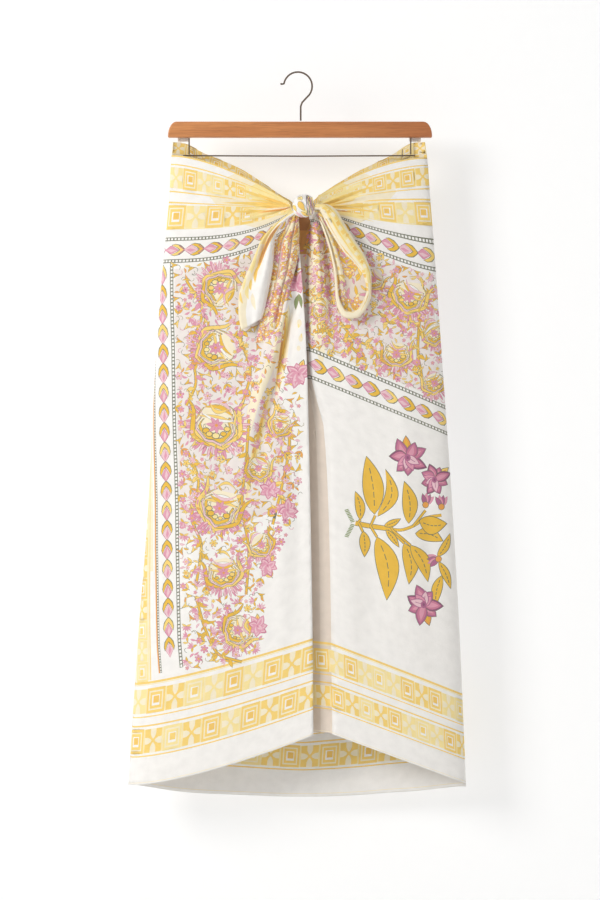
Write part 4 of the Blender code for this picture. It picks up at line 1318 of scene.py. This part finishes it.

# %% [markdown]
# ## Finishes
# A finish is a node tree.  A small class lets the maths read as maths, and one method adds any
# node.  The cotton takes its ink, and the shade painted into some creases and recesses, from the
# sheet's own colours, adds the slight unevenness of block printing, and has its weave and slubs
# as fine relief.


# %% Helpers for finishes
class Value:
    """A socket of a finish, so that shader maths can be written as an expression."""

    def __init__(self, finish, socket):
        self.finish, self.socket = finish, socket

    def maths(self, operation, *terms):
        return self.finish.node("ShaderNodeMath", {"operation": operation},
                                {k: term for k, term in enumerate(terms)})

    def __add__(self, other):
        return self.maths("ADD", self, other)

    def __radd__(self, other):
        return self.maths("ADD", other, self)

    def __sub__(self, other):
        return self.maths("SUBTRACT", self, other)

    def __rsub__(self, other):
        return self.maths("SUBTRACT", other, self)

    def __mul__(self, other):
        return self.maths("MULTIPLY", self, other)

    def __rmul__(self, other):
        return self.maths("MULTIPLY", other, self)

    def sine(self):
        return self.maths("SINE", self)

    def between(self, start, stop):
        """0 below start and 1 above stop."""
        return self.finish.node("ShaderNodeMapRange", {"clamp": True},
                                {"Value": self, "From Min": start, "From Max": stop})


class Finish:
    """A material on a Principled surface, whose nodes all come from one method."""

    def __init__(self, name, roughness=0.8, metallic=0.0, **even):
        self.material = bpy.data.materials.new(name)
        self.material.use_nodes = True
        self.tree = self.material.node_tree
        self.surface = self.tree.nodes["Principled BSDF"]
        self.surface.inputs["Roughness"].default_value = roughness
        self.surface.inputs["Metallic"].default_value = metallic
        for socket, level in even.items():
            self.surface.inputs[socket.replace("_", " ")].default_value = level

    def put(self, socket, term):
        if isinstance(term, Value):
            self.tree.links.new(term.socket, socket)
        elif isinstance(term, tuple) and len(term) == 3 and socket.type == "RGBA":
            socket.default_value = (*term, 1.0)
        else:
            socket.default_value = term

    def node(self, kind, settings=None, terms=None, output=0):
        made = self.tree.nodes.new(kind)
        for name, setting in (settings or {}).items():
            setattr(made, name, setting)
        for socket, term in (terms or {}).items():
            self.put(made.inputs[socket], term)
        return Value(self, made.outputs[output])

    def blend(self, factor, first, second, mode="MIX"):
        return self.node("ShaderNodeMix", {"data_type": "RGBA", "blend_type": mode},
                         {0: factor, 6: first, 7: second}, 2)

    def cloud(self, scale, detail=2.0, where=None, stretch=(1.0, 1.0, 1.0)):
        where = where or self.node("ShaderNodeTexCoord", output=3)
        where = self.node("ShaderNodeMapping", None, {"Vector": where, "Scale": stretch})
        return self.node("ShaderNodeTexNoise", None,
                         {"Vector": where, "Scale": scale, "Detail": detail})

    def wear(self, **sockets):
        for socket, term in sockets.items():
            self.put(self.surface.inputs[socket.replace("_", " ")], term)

    def relief(self, height, distance, strength=1.0):
        bump = self.node("ShaderNodeBump", None,
                         {"Height": height, "Distance": distance, "Strength": strength})
        self.put(self.surface.inputs["Normal"], bump)


THREAD = 0.00055         # pitch of the cotton's threads


def cotton(name):
    finish = Finish(name, 0.86, Sheen_Weight=0.12, Sheen_Roughness=0.5, Specular_IOR_Level=0.25)
    cloth = finish.node("ShaderNodeUVMap", {"uv_map": "Cloth"})
    # The Print colours carry the print and also the painted shade of the recess, the gap under the knot,
    # the creases and the valleys.
    printed = finish.node("ShaderNodeAttribute", {"attribute_name": "Print"})
    uneven = finish.cloud(70.0, 4.0, cloth).between(0.30, 0.72) * 0.07 + 0.945
    slubs = finish.cloud(26.0, 2.0, cloth, (1.0, 22.0, 1.0))
    slubs = slubs + finish.cloud(24.0, 2.0, cloth, (20.0, 1.0, 1.0))
    toned = finish.blend(1.0, printed, uneven, "MULTIPLY")
    toned = finish.blend(slubs.between(1.12, 1.45) * 0.06, toned, (0.80, 0.74, 0.68), "MULTIPLY")
    finish.wear(Base_Color=toned)
    axes = finish.tree.nodes.new("ShaderNodeSeparateXYZ")
    finish.put(axes.inputs[0], cloth)
    turn = 2.0 * math.pi / THREAD
    weave = (Value(finish, axes.outputs[0]) * turn).sine() * (
        Value(finish, axes.outputs[1]) * turn).sine()
    crumple = finish.cloud(18.0, 3.0, cloth)
    finish.relief(weave * 0.06 + slubs * 0.35 + crumple * 0.6, 0.0011, 0.5)
    return finish.material


printed_cotton = cotton("printed_cotton")
print("thread pitch", THREAD * 1000.0, "mm")


# %% Sheets
def make_sheet(name, page, finish, nodes, facing, wall=0.0011):
    flat, triangles, inks = page.cut()
    places = page.hang.place(flat)
    a, b, c = (places[triangles[:, k]] for k in range(3))
    normal = np.cross(b - a, c - a).sum(axis=0)
    if normal[1] * facing < 0.0:
        triangles = triangles[:, ::-1]
    mesh = bpy.data.meshes.new(name)
    mesh.from_pydata(places.tolist(), [], triangles.tolist())
    layer = mesh.uv_layers.new(name="Cloth")
    layer.data.foreach_set("uv", flat[triangles.ravel()].astype(np.float32).ravel())
    colour = mesh.color_attributes.new("Print", "FLOAT_COLOR", "CORNER")
    table = np.array([(*INKS[ink_name], 1.0) for ink_name in GAMUT], np.float32)
    colour.data.foreach_set("color", np.repeat(table[inks], 3, axis=0).ravel())
    mesh.materials.append(finish)
    mesh.shade_smooth()
    piece = bpy.data.objects.new(name, mesh)
    bpy.context.scene.collection.objects.link(piece)
    thick = piece.modifiers.new("Wall", "SOLIDIFY")
    thick.thickness = wall
    thick.offset = -1.0
    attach(piece, "root")
    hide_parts(*nodes)
    outline = page.shapes[0][1]
    x, y = outline[:, 0], outline[:, 1]
    area = 0.5 * abs(float(np.sum(x * np.roll(y, -1) - y * np.roll(x, -1))))
    size = outline.max(axis=0) - outline.min(axis=0)
    print(name, len(triangles), "triangles a side,", [round(float(side), 3) for side in size],
          "m flat")


make_sheet("left_front_cloth", left_page, printed_cotton, ("front_left_panel",), -1)
make_sheet("right_front_cloth", right_page, printed_cotton,
           ("front_right_panel", "centre_pleat", "right_drape"), -1)
make_sheet("back_cloth", back_page, printed_cotton, ("back_panel",), 1)

# %% [markdown]
# ## The tail, the loop and the knot
# The spare cloth at the front is tied once: a folded tail hangs to the left, a loop to the
# right, and the knot's wraps cover the place where they meet.  Each is a short stretch of the
# same cloth, so each is a sheet too, hung on rows that run from its left edge to its right.

# %% Rows of the hanging stretches
Row = namedtuple("Row", "at left_x left_drop right_x right_drop front crown")
LEFT_TAIL = (
    Row(0.00, -0.0040, 0.1990, -0.0010, 0.2060, 0.0400, 0.000),
    Row(0.12, -0.0317, 0.2203, -0.0202, 0.2189, 0.0450, 0.200),
    Row(0.28, -0.0511, 0.2419, -0.0331, 0.2448, 0.0465, 0.600),
    Row(0.46, -0.0662, 0.2765, -0.0346, 0.2722, 0.0460, 1.000),
    Row(0.62, -0.0778, 0.3024, -0.0382, 0.2981, 0.0450, 1.000),
    Row(0.76, -0.0850, 0.3269, -0.0432, 0.3225, 0.0430, 0.700),
    Row(0.88, -0.0850, 0.3485, -0.0475, 0.3442, 0.0400, 0.450),
    Row(1.00, -0.0812, 0.3735, -0.0511, 0.3557, 0.0370, 0.200),
)
LOOP_INSIDE = (
    Row(0.00, 0.0290, 0.2060, 0.0350, 0.2040, 0.0440, 0.1),
    Row(0.15, 0.0345, 0.2230, 0.0490, 0.2180, 0.0410, 0.4),
    Row(0.32, 0.0420, 0.2450, 0.0690, 0.2430, 0.0400, 0.7),
    Row(0.52, 0.0490, 0.2750, 0.0870, 0.2750, 0.0390, 1.0),
    Row(0.72, 0.0530, 0.3060, 0.0980, 0.3060, 0.0380, 1.0),
    Row(0.88, 0.0545, 0.3300, 0.0960, 0.3300, 0.0380, 0.8),
    Row(1.00, 0.0580, 0.3480, 0.0880, 0.3480, 0.0400, 0.4),
)


LEFT_DRAPE = (
    Row(0.00, -0.0090, 0.2030, 0.0010, 0.2060, 0.0360, 0.5),
    Row(0.12, -0.0200, 0.2275, 0.0022, 0.2275, 0.0320, 0.9),
    Row(0.28, -0.0330, 0.2477, 0.0022, 0.2506, 0.0300, 1.0),
    Row(0.46, -0.0380, 0.2866, -0.0035, 0.2851, 0.0295, 1.0),
    Row(0.62, -0.0420, 0.3154, -0.0125, 0.3154, 0.0300, 0.9),
    Row(0.80, -0.0518, 0.3485, -0.0170, 0.3485, 0.0290, 0.7),
    Row(1.00, -0.0605, 0.3900, -0.0216, 0.3900, 0.0255, 0.2),
)


def stretch_rows(table, section, rows=70):
    """Rows of points; section(t, row) is how far forward of its edges a point stands."""
    v, before = 0.0, None
    for at in np.linspace(0.0, 1.0, rows):
        row = Row(at, *(float(read(table, "at", column, at)) for column in Row._fields[1:]))
        t = np.linspace(0.0, 1.0, 90)
        x = row.left_x + t * (row.right_x - row.left_x)
        drop = row.left_drop + t * (row.right_drop - row.left_drop)
        points = np.stack([x, -row.front - section(t, row), -drop], axis=1)
        middle = points.mean(axis=0)
        v += 0.0 if before is None else float(np.linalg.norm(middle - before))
        before = middle
        yield v, points, 0.0


def tail_section(t, row):
    """A folded edge, a deep trough, and a broad lit fold."""
    trough = -0.0070 * np.exp(-(((t - 0.36) / 0.13) ** 2)) * row.crown * ease(-row.at, -0.86, -0.40)
    fold = 0.0050 * np.exp(-(((t - 0.72) / 0.15) ** 2)) * (0.4 + 0.6 * row.crown)
    roll = -0.0060 * ease(t, 0.90, 1.0) - 0.0035 * ease(-t, -0.07, 0.0)
    return trough + fold + roll


def drape_section(t, row):
    """A full rounded fold with two narrow creases in it."""
    full = 0.0110 * (1.0 - np.abs(2.0 * t - 1.0) ** 2.6)
    narrow = 0.0042 * np.exp(-(((t - 0.30) / 0.055) ** 2))
    narrow += 0.0050 * np.exp(-(((t - 0.66) / 0.050) ** 2))
    return (full - narrow) * row.crown


def inside_section(t, row):
    """The loop's far wall: a light fold at its left, then a hollow."""
    fold = 0.0035 * np.exp(-(((t - 0.24) / 0.12) ** 2)) - 0.0030 * np.exp(-(((t - 0.06) / 0.06) ** 2))
    return (fold - 0.0050 * np.sin(math.pi * t)) * row.crown


def small_print(page, tones, figures, size, ground="cloth", leaves=0.5):
    """Dense small florals over a whole stretch, in cloth coordinates."""
    outline = page.shapes[0][1]
    low, high = outline.min(axis=0), outline.max(axis=0)
    if ground != "cloth":
        page.flat(ground, outline)
    for _ in range(figures):
        spot = np.array((page.dice.uniform(low[0], high[0]), page.dice.uniform(low[1], high[1])))
        turn = page.dice.uniform(0.0, 6.3)
        reach = size * page.dice.uniform(0.6, 1.2)
        way = np.array((math.cos(turn), math.sin(turn))) * reach
        tone = page.dice.choice(tones)
        if page.dice.random() < leaves:
            page.flat("taupe", leaf_shape(spot - way, spot + way, reach * 0.62, 0.0, 5, 0.0004))
            page.flat(tone, leaf_shape(spot - way, spot + way, reach * 0.62, 0.0, 5))
        else:
            page.flat("rose", blossom_shape(spot, reach * 1.02, 5, turn))
            page.flat(tone, blossom_shape(spot, reach * 0.86, 5, turn, 0.40))
            page.flat("cloth", ring_shape(spot, reach * 0.26, reach * 0.26, 5))


# %% The tail
tail_hang = Hang(*cloth_lattice(stretch_rows(LEFT_TAIL, tail_section)), [], -1.0)
tail_page = Print(tail_hang, 41, 0.0020)
tail_length = float(tail_hang.levels[-1])


def lengthwise(page, name, left, right, top=0.0, foot=1.0):
    """A band of ink down a stretch between two shares of its width, with wavering edges."""
    vs = np.linspace(page.hang.levels[0], page.hang.levels[-1], 26)
    vs = vs[int(top * 25):int(foot * 25) + 1]
    ends = np.interp(vs, page.hang.levels, page.hang.ends)
    waver = np.array([page.dice.uniform(-0.02, 0.02) for _ in range(2 * len(vs))])
    ragged = np.stack([(left + waver[:len(vs)]) * ends, vs], axis=1)
    smooth = np.stack([(right + waver[len(vs):]) * ends, vs], axis=1)
    page.flat(name, np.concatenate((ragged, smooth[::-1])))


lengthwise(tail_page, "cream", -0.05, 0.30)
lengthwise(tail_page, "butter", -0.05, 0.34, 0.0, 0.38)
lengthwise(tail_page, "butter", 0.02, 0.12, 0.38, 0.56)
tail_wide = float(tail_hang.ends[30])
# Painted shade down the tail's trough: honey at its edges, brown within, and dark brown at its middle.
for name, wide, top, foot in (("honey", 0.22, 0.16, 0.58), ("shade", 0.17, 0.18, 0.53),
                              ("umber", 0.10, 0.20, 0.46)):
    ribbon(tail_page, name, ((0.30 * tail_wide, tail_length * top),
                             (0.38 * tail_wide, tail_length * (top + foot) / 2),
                             (0.40 * tail_wide, tail_length * foot)), wide * tail_wide, flat=True)
for x, y, long, wide, name in ((0.16, 0.52, 0.07, 0.14, "butter"), (0.10, 0.66, 0.06, 0.12, "butter"),
                               (0.30, 0.74, 0.06, 0.12, "butter"), (0.22, 0.86, 0.05, 0.10, "cream"),
                               (0.40, 0.60, 0.07, 0.12, "honey"), (0.34, 0.68, 0.05, 0.10, "yellow"),
                               (0.52, 0.82, 0.07, 0.14, "cream"), (0.80, 0.20, 0.06, 0.12, "butter"),
                               (0.84, 0.42, 0.05, 0.10, "cream"), (0.12, 0.78, 0.05, 0.10, "yellow")):
    spot = np.array((x * tail_wide, y * tail_length))
    lean = np.array((0.06 * tail_wide, long * tail_length))
    tail_page.flat(name, leaf_shape(spot - lean, spot + lean, wide * tail_wide, 0.001, 6))
make_sheet("left_tail_cloth", tail_page, printed_cotton, ("left_tail",), -1, 0.0010)

# %% The drape beside the tail
drape_hang = Hang(*cloth_lattice(stretch_rows(LEFT_DRAPE, drape_section)), [], -1.0)
drape_page = Print(drape_hang, 45, 0.0020)
small_print(drape_page, ("marigold", "pink", "yellow", "butter", "honey", "amber", "blush"), 300,
            0.0056, "cream")
# Painted shade along the drape's two narrow creases.
for share in (0.30, 0.66):
    lengthwise(drape_page, "sand", share - 0.030, share + 0.030, 0.08, 0.62)
make_sheet("left_drape_cloth", drape_page, printed_cotton, ("left_drape",), -1, 0.0010)

# %% The loop's far wall
inside_hang = Hang(*cloth_lattice(stretch_rows(LOOP_INSIDE, inside_section)), [], -1.0)
inside_page = Print(inside_hang, 43, 0.0024)
small_print(inside_page, ("marigold", "yellow", "honey", "marigold", "butter", "pink"), 170,
            0.0068, "fawn", 0.82)
# Painted shade on the loop's far wall: a strip down its left edge and one at its upper right, under the
# band.
lengthwise(inside_page, "shade", -0.02, 0.10, 0.04, 0.60)
lengthwise(inside_page, "shade", 0.78, 1.02, 0.10, 0.44)
lengthwise(inside_page, "cream", 0.10, 0.34, 0.04, 0.66)
for k in range(9):
    spot = (0.22 * float(inside_hang.ends[30]) + 0.0012 * (-1) ** k,
            float(inside_hang.levels[-1]) * (0.10 + 0.06 * k))
    inside_page.flat(("yellow", "butter")[k % 2], ring_shape(spot, 0.0022, 0.0034, 6, k))
make_sheet("loop_inside_cloth", inside_page, printed_cotton, ("loop_inside",), -1, 0.0010)

# %% The loop's wall, with its rolled lip
Rim = namedtuple("Rim", "at outer_x outer_drop rim_x rim_drop")
LOOP_WALL = (
    Rim(0.00, 0.0230, 0.1920, 0.0230, 0.2010),
    Rim(0.08, 0.0400, 0.1925, 0.0310, 0.2010),
    Rim(0.16, 0.0540, 0.2000, 0.0380, 0.2165),
    Rim(0.26, 0.0680, 0.2230, 0.0495, 0.2375),
    Rim(0.36, 0.0840, 0.2480, 0.0655, 0.2620),
    Rim(0.46, 0.0980, 0.2710, 0.0820, 0.2790),
    Rim(0.56, 0.1050, 0.2956, 0.0940, 0.2965),
    Rim(0.66, 0.1050, 0.3197, 0.0975, 0.3160),
    Rim(0.75, 0.0985, 0.3405, 0.0918, 0.3330),
    Rim(0.83, 0.0845, 0.3555, 0.0815, 0.3455),
    Rim(0.90, 0.0706, 0.3565, 0.0718, 0.3465),
    Rim(0.96, 0.0598, 0.3478, 0.0646, 0.3398),
    Rim(1.04, 0.0540, 0.3300, 0.0588, 0.3260),
    Rim(1.22, 0.0515, 0.2920, 0.0550, 0.2910),
    Rim(1.40, 0.0450, 0.2590, 0.0482, 0.2580),
    Rim(1.60, 0.0295, 0.2120, 0.0322, 0.2100),
)
LOOP_BACK, LOOP_FRONT = 0.0400, 0.0500


def loop_rows(rows=150):
    v, before = 0.0, None
    for at in np.linspace(0.0, LOOP_WALL[-1].at, rows):
        outer_x, outer_drop, rim_x, rim_drop = (
            float(read(LOOP_WALL, "at", column, at)) for column in Rim._fields[1:])
        t = np.linspace(0.0, 1.0, 70)
        turn = t * math.radians(134.0)
        over = (1.0 - np.cos(turn)) / (1.0 - math.cos(math.radians(134.0)))
        rise = np.sin(turn) * (LOOP_FRONT - LOOP_BACK) * (
            0.55 + 0.25 * ease(at, 0.0, 0.25) - 0.30 * ease(at, 0.35, 0.55)
            - 0.25 * ease(at, 0.92, 1.15))
        points = np.stack([outer_x + over * (rim_x - outer_x), -LOOP_BACK - rise,
                           -outer_drop - over * (rim_drop - outer_drop)], axis=1)
        v += 0.0 if before is None else float(np.linalg.norm(points[35] - before))
        before = points[35]
        yield v, points, 0.0


loop_hang = Hang(*cloth_lattice(loop_rows()), [], -1.0)
loop_page = Print(loop_hang, 47, 0.0024)
lengthwise(loop_page, "cream", -0.1, 1.1)
lengthwise(loop_page, "butter", 0.22, 0.70, 0.0, 0.40)
lengthwise(loop_page, "yellow", 0.30, 0.36, 0.0, 0.44)
lengthwise(loop_page, "yellow", 0.62, 0.66, 0.0, 0.52)
lengthwise(loop_page, "honey", 0.86, 0.90, 0.10, 1.0)
for k in range(22):
    spot = np.array((0.48 + 0.10 * loop_page.dice.uniform(-1, 1), 0.0)) * float(loop_hang.ends[40])
    spot[1] = float(loop_hang.levels[-1]) * (0.03 + 0.42 * k / 21.0)
    loop_page.flat(("cream", "yellow", "honey")[k % 3],
                   square(0.0024, 0.0030) + spot if k % 2 else star_shape(spot, 0.0034, 0.002, 4, k))
make_sheet("right_loop_cloth", loop_page, printed_cotton, ("right_loop",), -1, 0.0010)

# %% [markdown]
# The knot is a rounded boss of wrapped cloth.  Its sheet is a square bent over the front of an
# ellipsoid, so that it has no pole, with slanting grooves where one wrap passes the next.

# %% The knot
KNOT_CENTRE = np.array((0.0083, -0.0320, -0.1958))
KNOT_SIZE = np.array((0.0372, 0.0450, 0.0385))


def knot_rows(rows=80):
    reach = math.radians(62.0)
    for q in np.linspace(-1.0, 1.0, rows):
        p = np.linspace(-1.0, 1.0, 100)
        way = np.stack([np.tan(p * reach), np.full_like(p, -1.15), np.full_like(p, -math.tan(
            q * reach))], axis=1)
        way /= (np.abs(way) ** 2.1).sum(axis=1)[:, None] ** (1 / 2.1)
        slant = way[:, 0] * 0.80 + way[:, 2] * 0.60
        groove = np.zeros_like(p)
        for place, wide, deep in ((0.12, 0.050, 0.095), (0.38, 0.035, 0.060), (0.56, 0.040, 0.085),
                                  (0.76, 0.035, 0.050), (-0.46, 0.045, 0.080)):
            groove += deep * np.exp(-(((slant - place - 0.10 * way[:, 2]) / wide) ** 2))
        points = KNOT_CENTRE + way * (1.0 - groove)[:, None] * KNOT_SIZE / 2.0
        yield (q + 1.0) * 0.0185, points, 0.0


knot_hang = Hang(*cloth_lattice(knot_rows()), [], -1.0)
knot_page = Print(knot_hang, 53, 0.0016)
knot_wide = float(knot_hang.ends.max())
middle = np.array((knot_wide * 0.42, 0.0185))
for k in range(10):
    spot = np.array((knot_wide * knot_page.dice.uniform(0.1, 0.9), knot_page.dice.uniform(0.003, 0.034)))
    knot_page.flat(("cream", "butter", "blush")[k % 3], leaf_shape(
        spot - (0.004, 0.006), spot + (0.004, 0.006), 0.0060, 0.0, 5))
for name, a, b, wide in (("honey", (-0.006, -0.006), (0.003, 0.007), 0.0085),
                         ("yellow", (-0.017, -0.002), (-0.011, 0.010), 0.0070),
                         ("yellow", (-0.003, 0.009), (0.006, 0.017), 0.0050),
                         ("butter", (-0.010, -0.014), (0.001, -0.010), 0.0050)):
    knot_page.flat("outline", leaf_shape(middle + a, middle + b, wide, 0.0, 6, 0.0004))
    knot_page.flat(name, leaf_shape(middle + a, middle + b, wide, 0.0, 6))
for k in range(11):
    foot = middle + (0.003 + 0.0019 * k, -0.020 + 0.0014 * k)
    path = bend((foot, foot + (0.0045, 0.012), foot + (0.0055, 0.024), foot + (0.001, 0.034)), 9)
    stroke(knot_page, ("outline", "pink", "sage", "honey", "mauve")[k % 5], path,
           0.0008 if k % 2 else 0.0012, flat=True)
make_sheet("knot_cloth", knot_page, printed_cotton, ("knot",), -1, 0.0010)

# %% [markdown]
# ## Wood, wire and tape
# The hanger keeps its CAD shapes.  The bar is oiled hardwood with a fine straight grain along
# its length, the hook and the rail are dull steel wire, and two white tapes hold the waist.

# %% Hanger finishes
def wood():
    finish = Finish("bar_wood", 0.42, Coat_Weight=0.12, Coat_Roughness=0.35)
    broad = finish.cloud(6.0, 3.0, None, (1.0, 9.0, 16.0))
    fine = finish.cloud(30.0, 3.0, None, (1.0, 22.0, 34.0))
    pores = finish.cloud(60.0, 1.0, None, (1.0, 20.0, 30.0))
    axes = finish.tree.nodes.new("ShaderNodeSeparateXYZ")
    finish.put(axes.inputs[0], finish.node("ShaderNodeTexCoord", output=3))
    tone = finish.blend(broad.between(0.32, 0.68), ink(224, 154, 94), ink(202, 130, 76))
    tone = finish.blend(Value(finish, axes.outputs[0]).between(-0.04, 0.19) * 0.8, tone,
                        ink(172, 100, 56))
    tone = finish.blend(fine.between(0.45, 0.75) * 0.55, tone, ink(156, 94, 56))
    tone = finish.blend(pores.between(0.62, 0.72) * 0.35, tone, ink(120, 72, 44))
    finish.wear(Base_Color=tone, Roughness=fine * 0.2 + 0.32)
    finish.relief(fine * 0.7 + pores * 0.5, 0.0002, 0.5)
    return finish.material


def wire(name, colour):
    finish = Finish(name, 0.38, 1.0)
    drawn = finish.cloud(300.0, 2.0, None, (1.0, 1.0, 0.15))
    dull = finish.cloud(90.0, 3.0)
    finish.wear(Base_Color=finish.blend(dull.between(0.35, 0.7) * 0.4, colour, ink(96, 84, 74)),
                Roughness=drawn * 0.25 + 0.25)
    finish.relief(drawn, 0.00005, 0.4)
    return finish.material


def tape():
    finish = Finish("cotton_tape", 0.85, Sheen_Weight=0.2)
    place = finish.node("ShaderNodeTexCoord", output=3)
    axes = finish.tree.nodes.new("ShaderNodeSeparateXYZ")
    finish.put(axes.inputs[0], place)
    ribs = (Value(finish, axes.outputs[2]) * (2.0 * math.pi / 0.0009)).sine()
    cords = (Value(finish, axes.outputs[0]) * (2.0 * math.pi / 0.0012)).sine()
    soft = finish.cloud(60.0, 3.0)
    finish.wear(Base_Color=finish.blend(soft, ink(238, 234, 228), ink(250, 248, 244)))
    finish.relief(ribs * cords * 0.5 + soft, 0.0003, 0.5)
    return finish.material


def dress(node, material):
    item = bpy.data.objects[node]
    item.data.materials.clear()
    item.data.materials.append(material)
    for face in item.data.polygons:
        face.material_index = 0


bar_wood, cotton_tape = wood(), tape()
steel_wire = wire("steel_wire", ink(132, 116, 104))
for node, material in (("hanger_bar", bar_wood), ("hanger_hook", steel_wire),
                       ("rail_wire", steel_wire), ("left_post", steel_wire),
                       ("right_post", steel_wire), ("left_tape", cotton_tape),
                       ("right_tape", cotton_tape)):
    dress(node, material)
print("hanger dressed")

# %% [markdown]
# ## Stage and light
# A white wall stands just behind the garment and takes its soft shadow.  Its faces are clear
# from behind, so that the back can be seen too.  A large soft light stands to the upper left.

# %% Stage and light
FLOOR_DROP = 1.36
WALL_BEHIND = 0.085


def plane(name, centre, size, turn=None):
    form = bmesh.new()
    bmesh.ops.create_grid(form, x_segments=1, y_segments=1, size=size / 2.0)
    if turn:
        bmesh.ops.rotate(form, verts=form.verts, cent=(0, 0, 0), matrix=turn)
    bmesh.ops.translate(form, verts=form.verts, vec=centre)
    mesh = bpy.data.meshes.new(name)
    form.to_mesh(mesh)
    form.free()
    made = bpy.data.objects.new(name, mesh)
    bpy.context.scene.collection.objects.link(made)
    return made


floor = plane("floor", (0.0, 0.0, -FLOOR_DROP), 12.0)
floor_finish = Finish("pale_floor", 0.9)
floor_finish.wear(Base_Color=floor_finish.blend(floor_finish.cloud(3.0, 2.0), (0.86, 0.86, 0.85),
                                                (0.90, 0.90, 0.89)))
floor.data.materials.append(floor_finish.material)

wall = plane("backdrop", (0.0, WALL_BEHIND, -0.3), 9.0, Matrix.Rotation(math.radians(90.0), 3, "X"))
wall_finish = Finish("white_wall", 1.0, Specular_IOR_Level=0.0)
wall_finish.wear(Base_Color=(0.56, 0.56, 0.56), Emission_Color=(1.0, 1.0, 1.0),
                 Emission_Strength=0.50)
tree = wall_finish.tree
clear = tree.nodes.new("ShaderNodeBsdfTransparent")
behind = tree.nodes.new("ShaderNodeNewGeometry")
either = tree.nodes.new("ShaderNodeMixShader")
tree.links.new(behind.outputs["Backfacing"], either.inputs[0])
tree.links.new(wall_finish.surface.outputs[0], either.inputs[1])
tree.links.new(clear.outputs[0], either.inputs[2])
tree.links.new(either.outputs[0], tree.nodes["Material Output"].inputs[0])
wall.data.materials.append(wall_finish.material)

world = bpy.data.worlds.new("soft room")
bpy.context.scene.world = world
world.use_nodes = True
world.node_tree.nodes["Background"].inputs[0].default_value = (1.0, 0.995, 0.985, 1.0)
world.node_tree.nodes["Background"].inputs[1].default_value = 0.40


def soft_light(name, place, aim, size, watts, colour):
    data = bpy.data.lights.new(name, "AREA")
    data.size, data.energy, data.color = size, watts, colour
    lamp = bpy.data.objects.new(name, data)
    bpy.context.scene.collection.objects.link(lamp)
    lamp.location = place
    lamp.rotation_euler = (Vector(aim) - Vector(place)).to_track_quat("-Z", "Y").to_euler()


soft_light("key", (-2.3, -2.5, 0.9), (0.0, 0.0, -0.50), 1.3, 70.0, (1.0, 0.995, 0.985))
soft_light("fill", (2.2, -2.2, -0.2), (0.0, 0.0, -0.6), 2.0, 7.0, (1.0, 0.99, 0.98))
soft_light("rear", (0.6, 2.6, 0.4), (0.0, 0.0, -0.6), 2.2, 30.0, (1.0, 1.0, 1.0))
bpy.context.scene.view_settings.view_transform = "Standard"
print("lit")
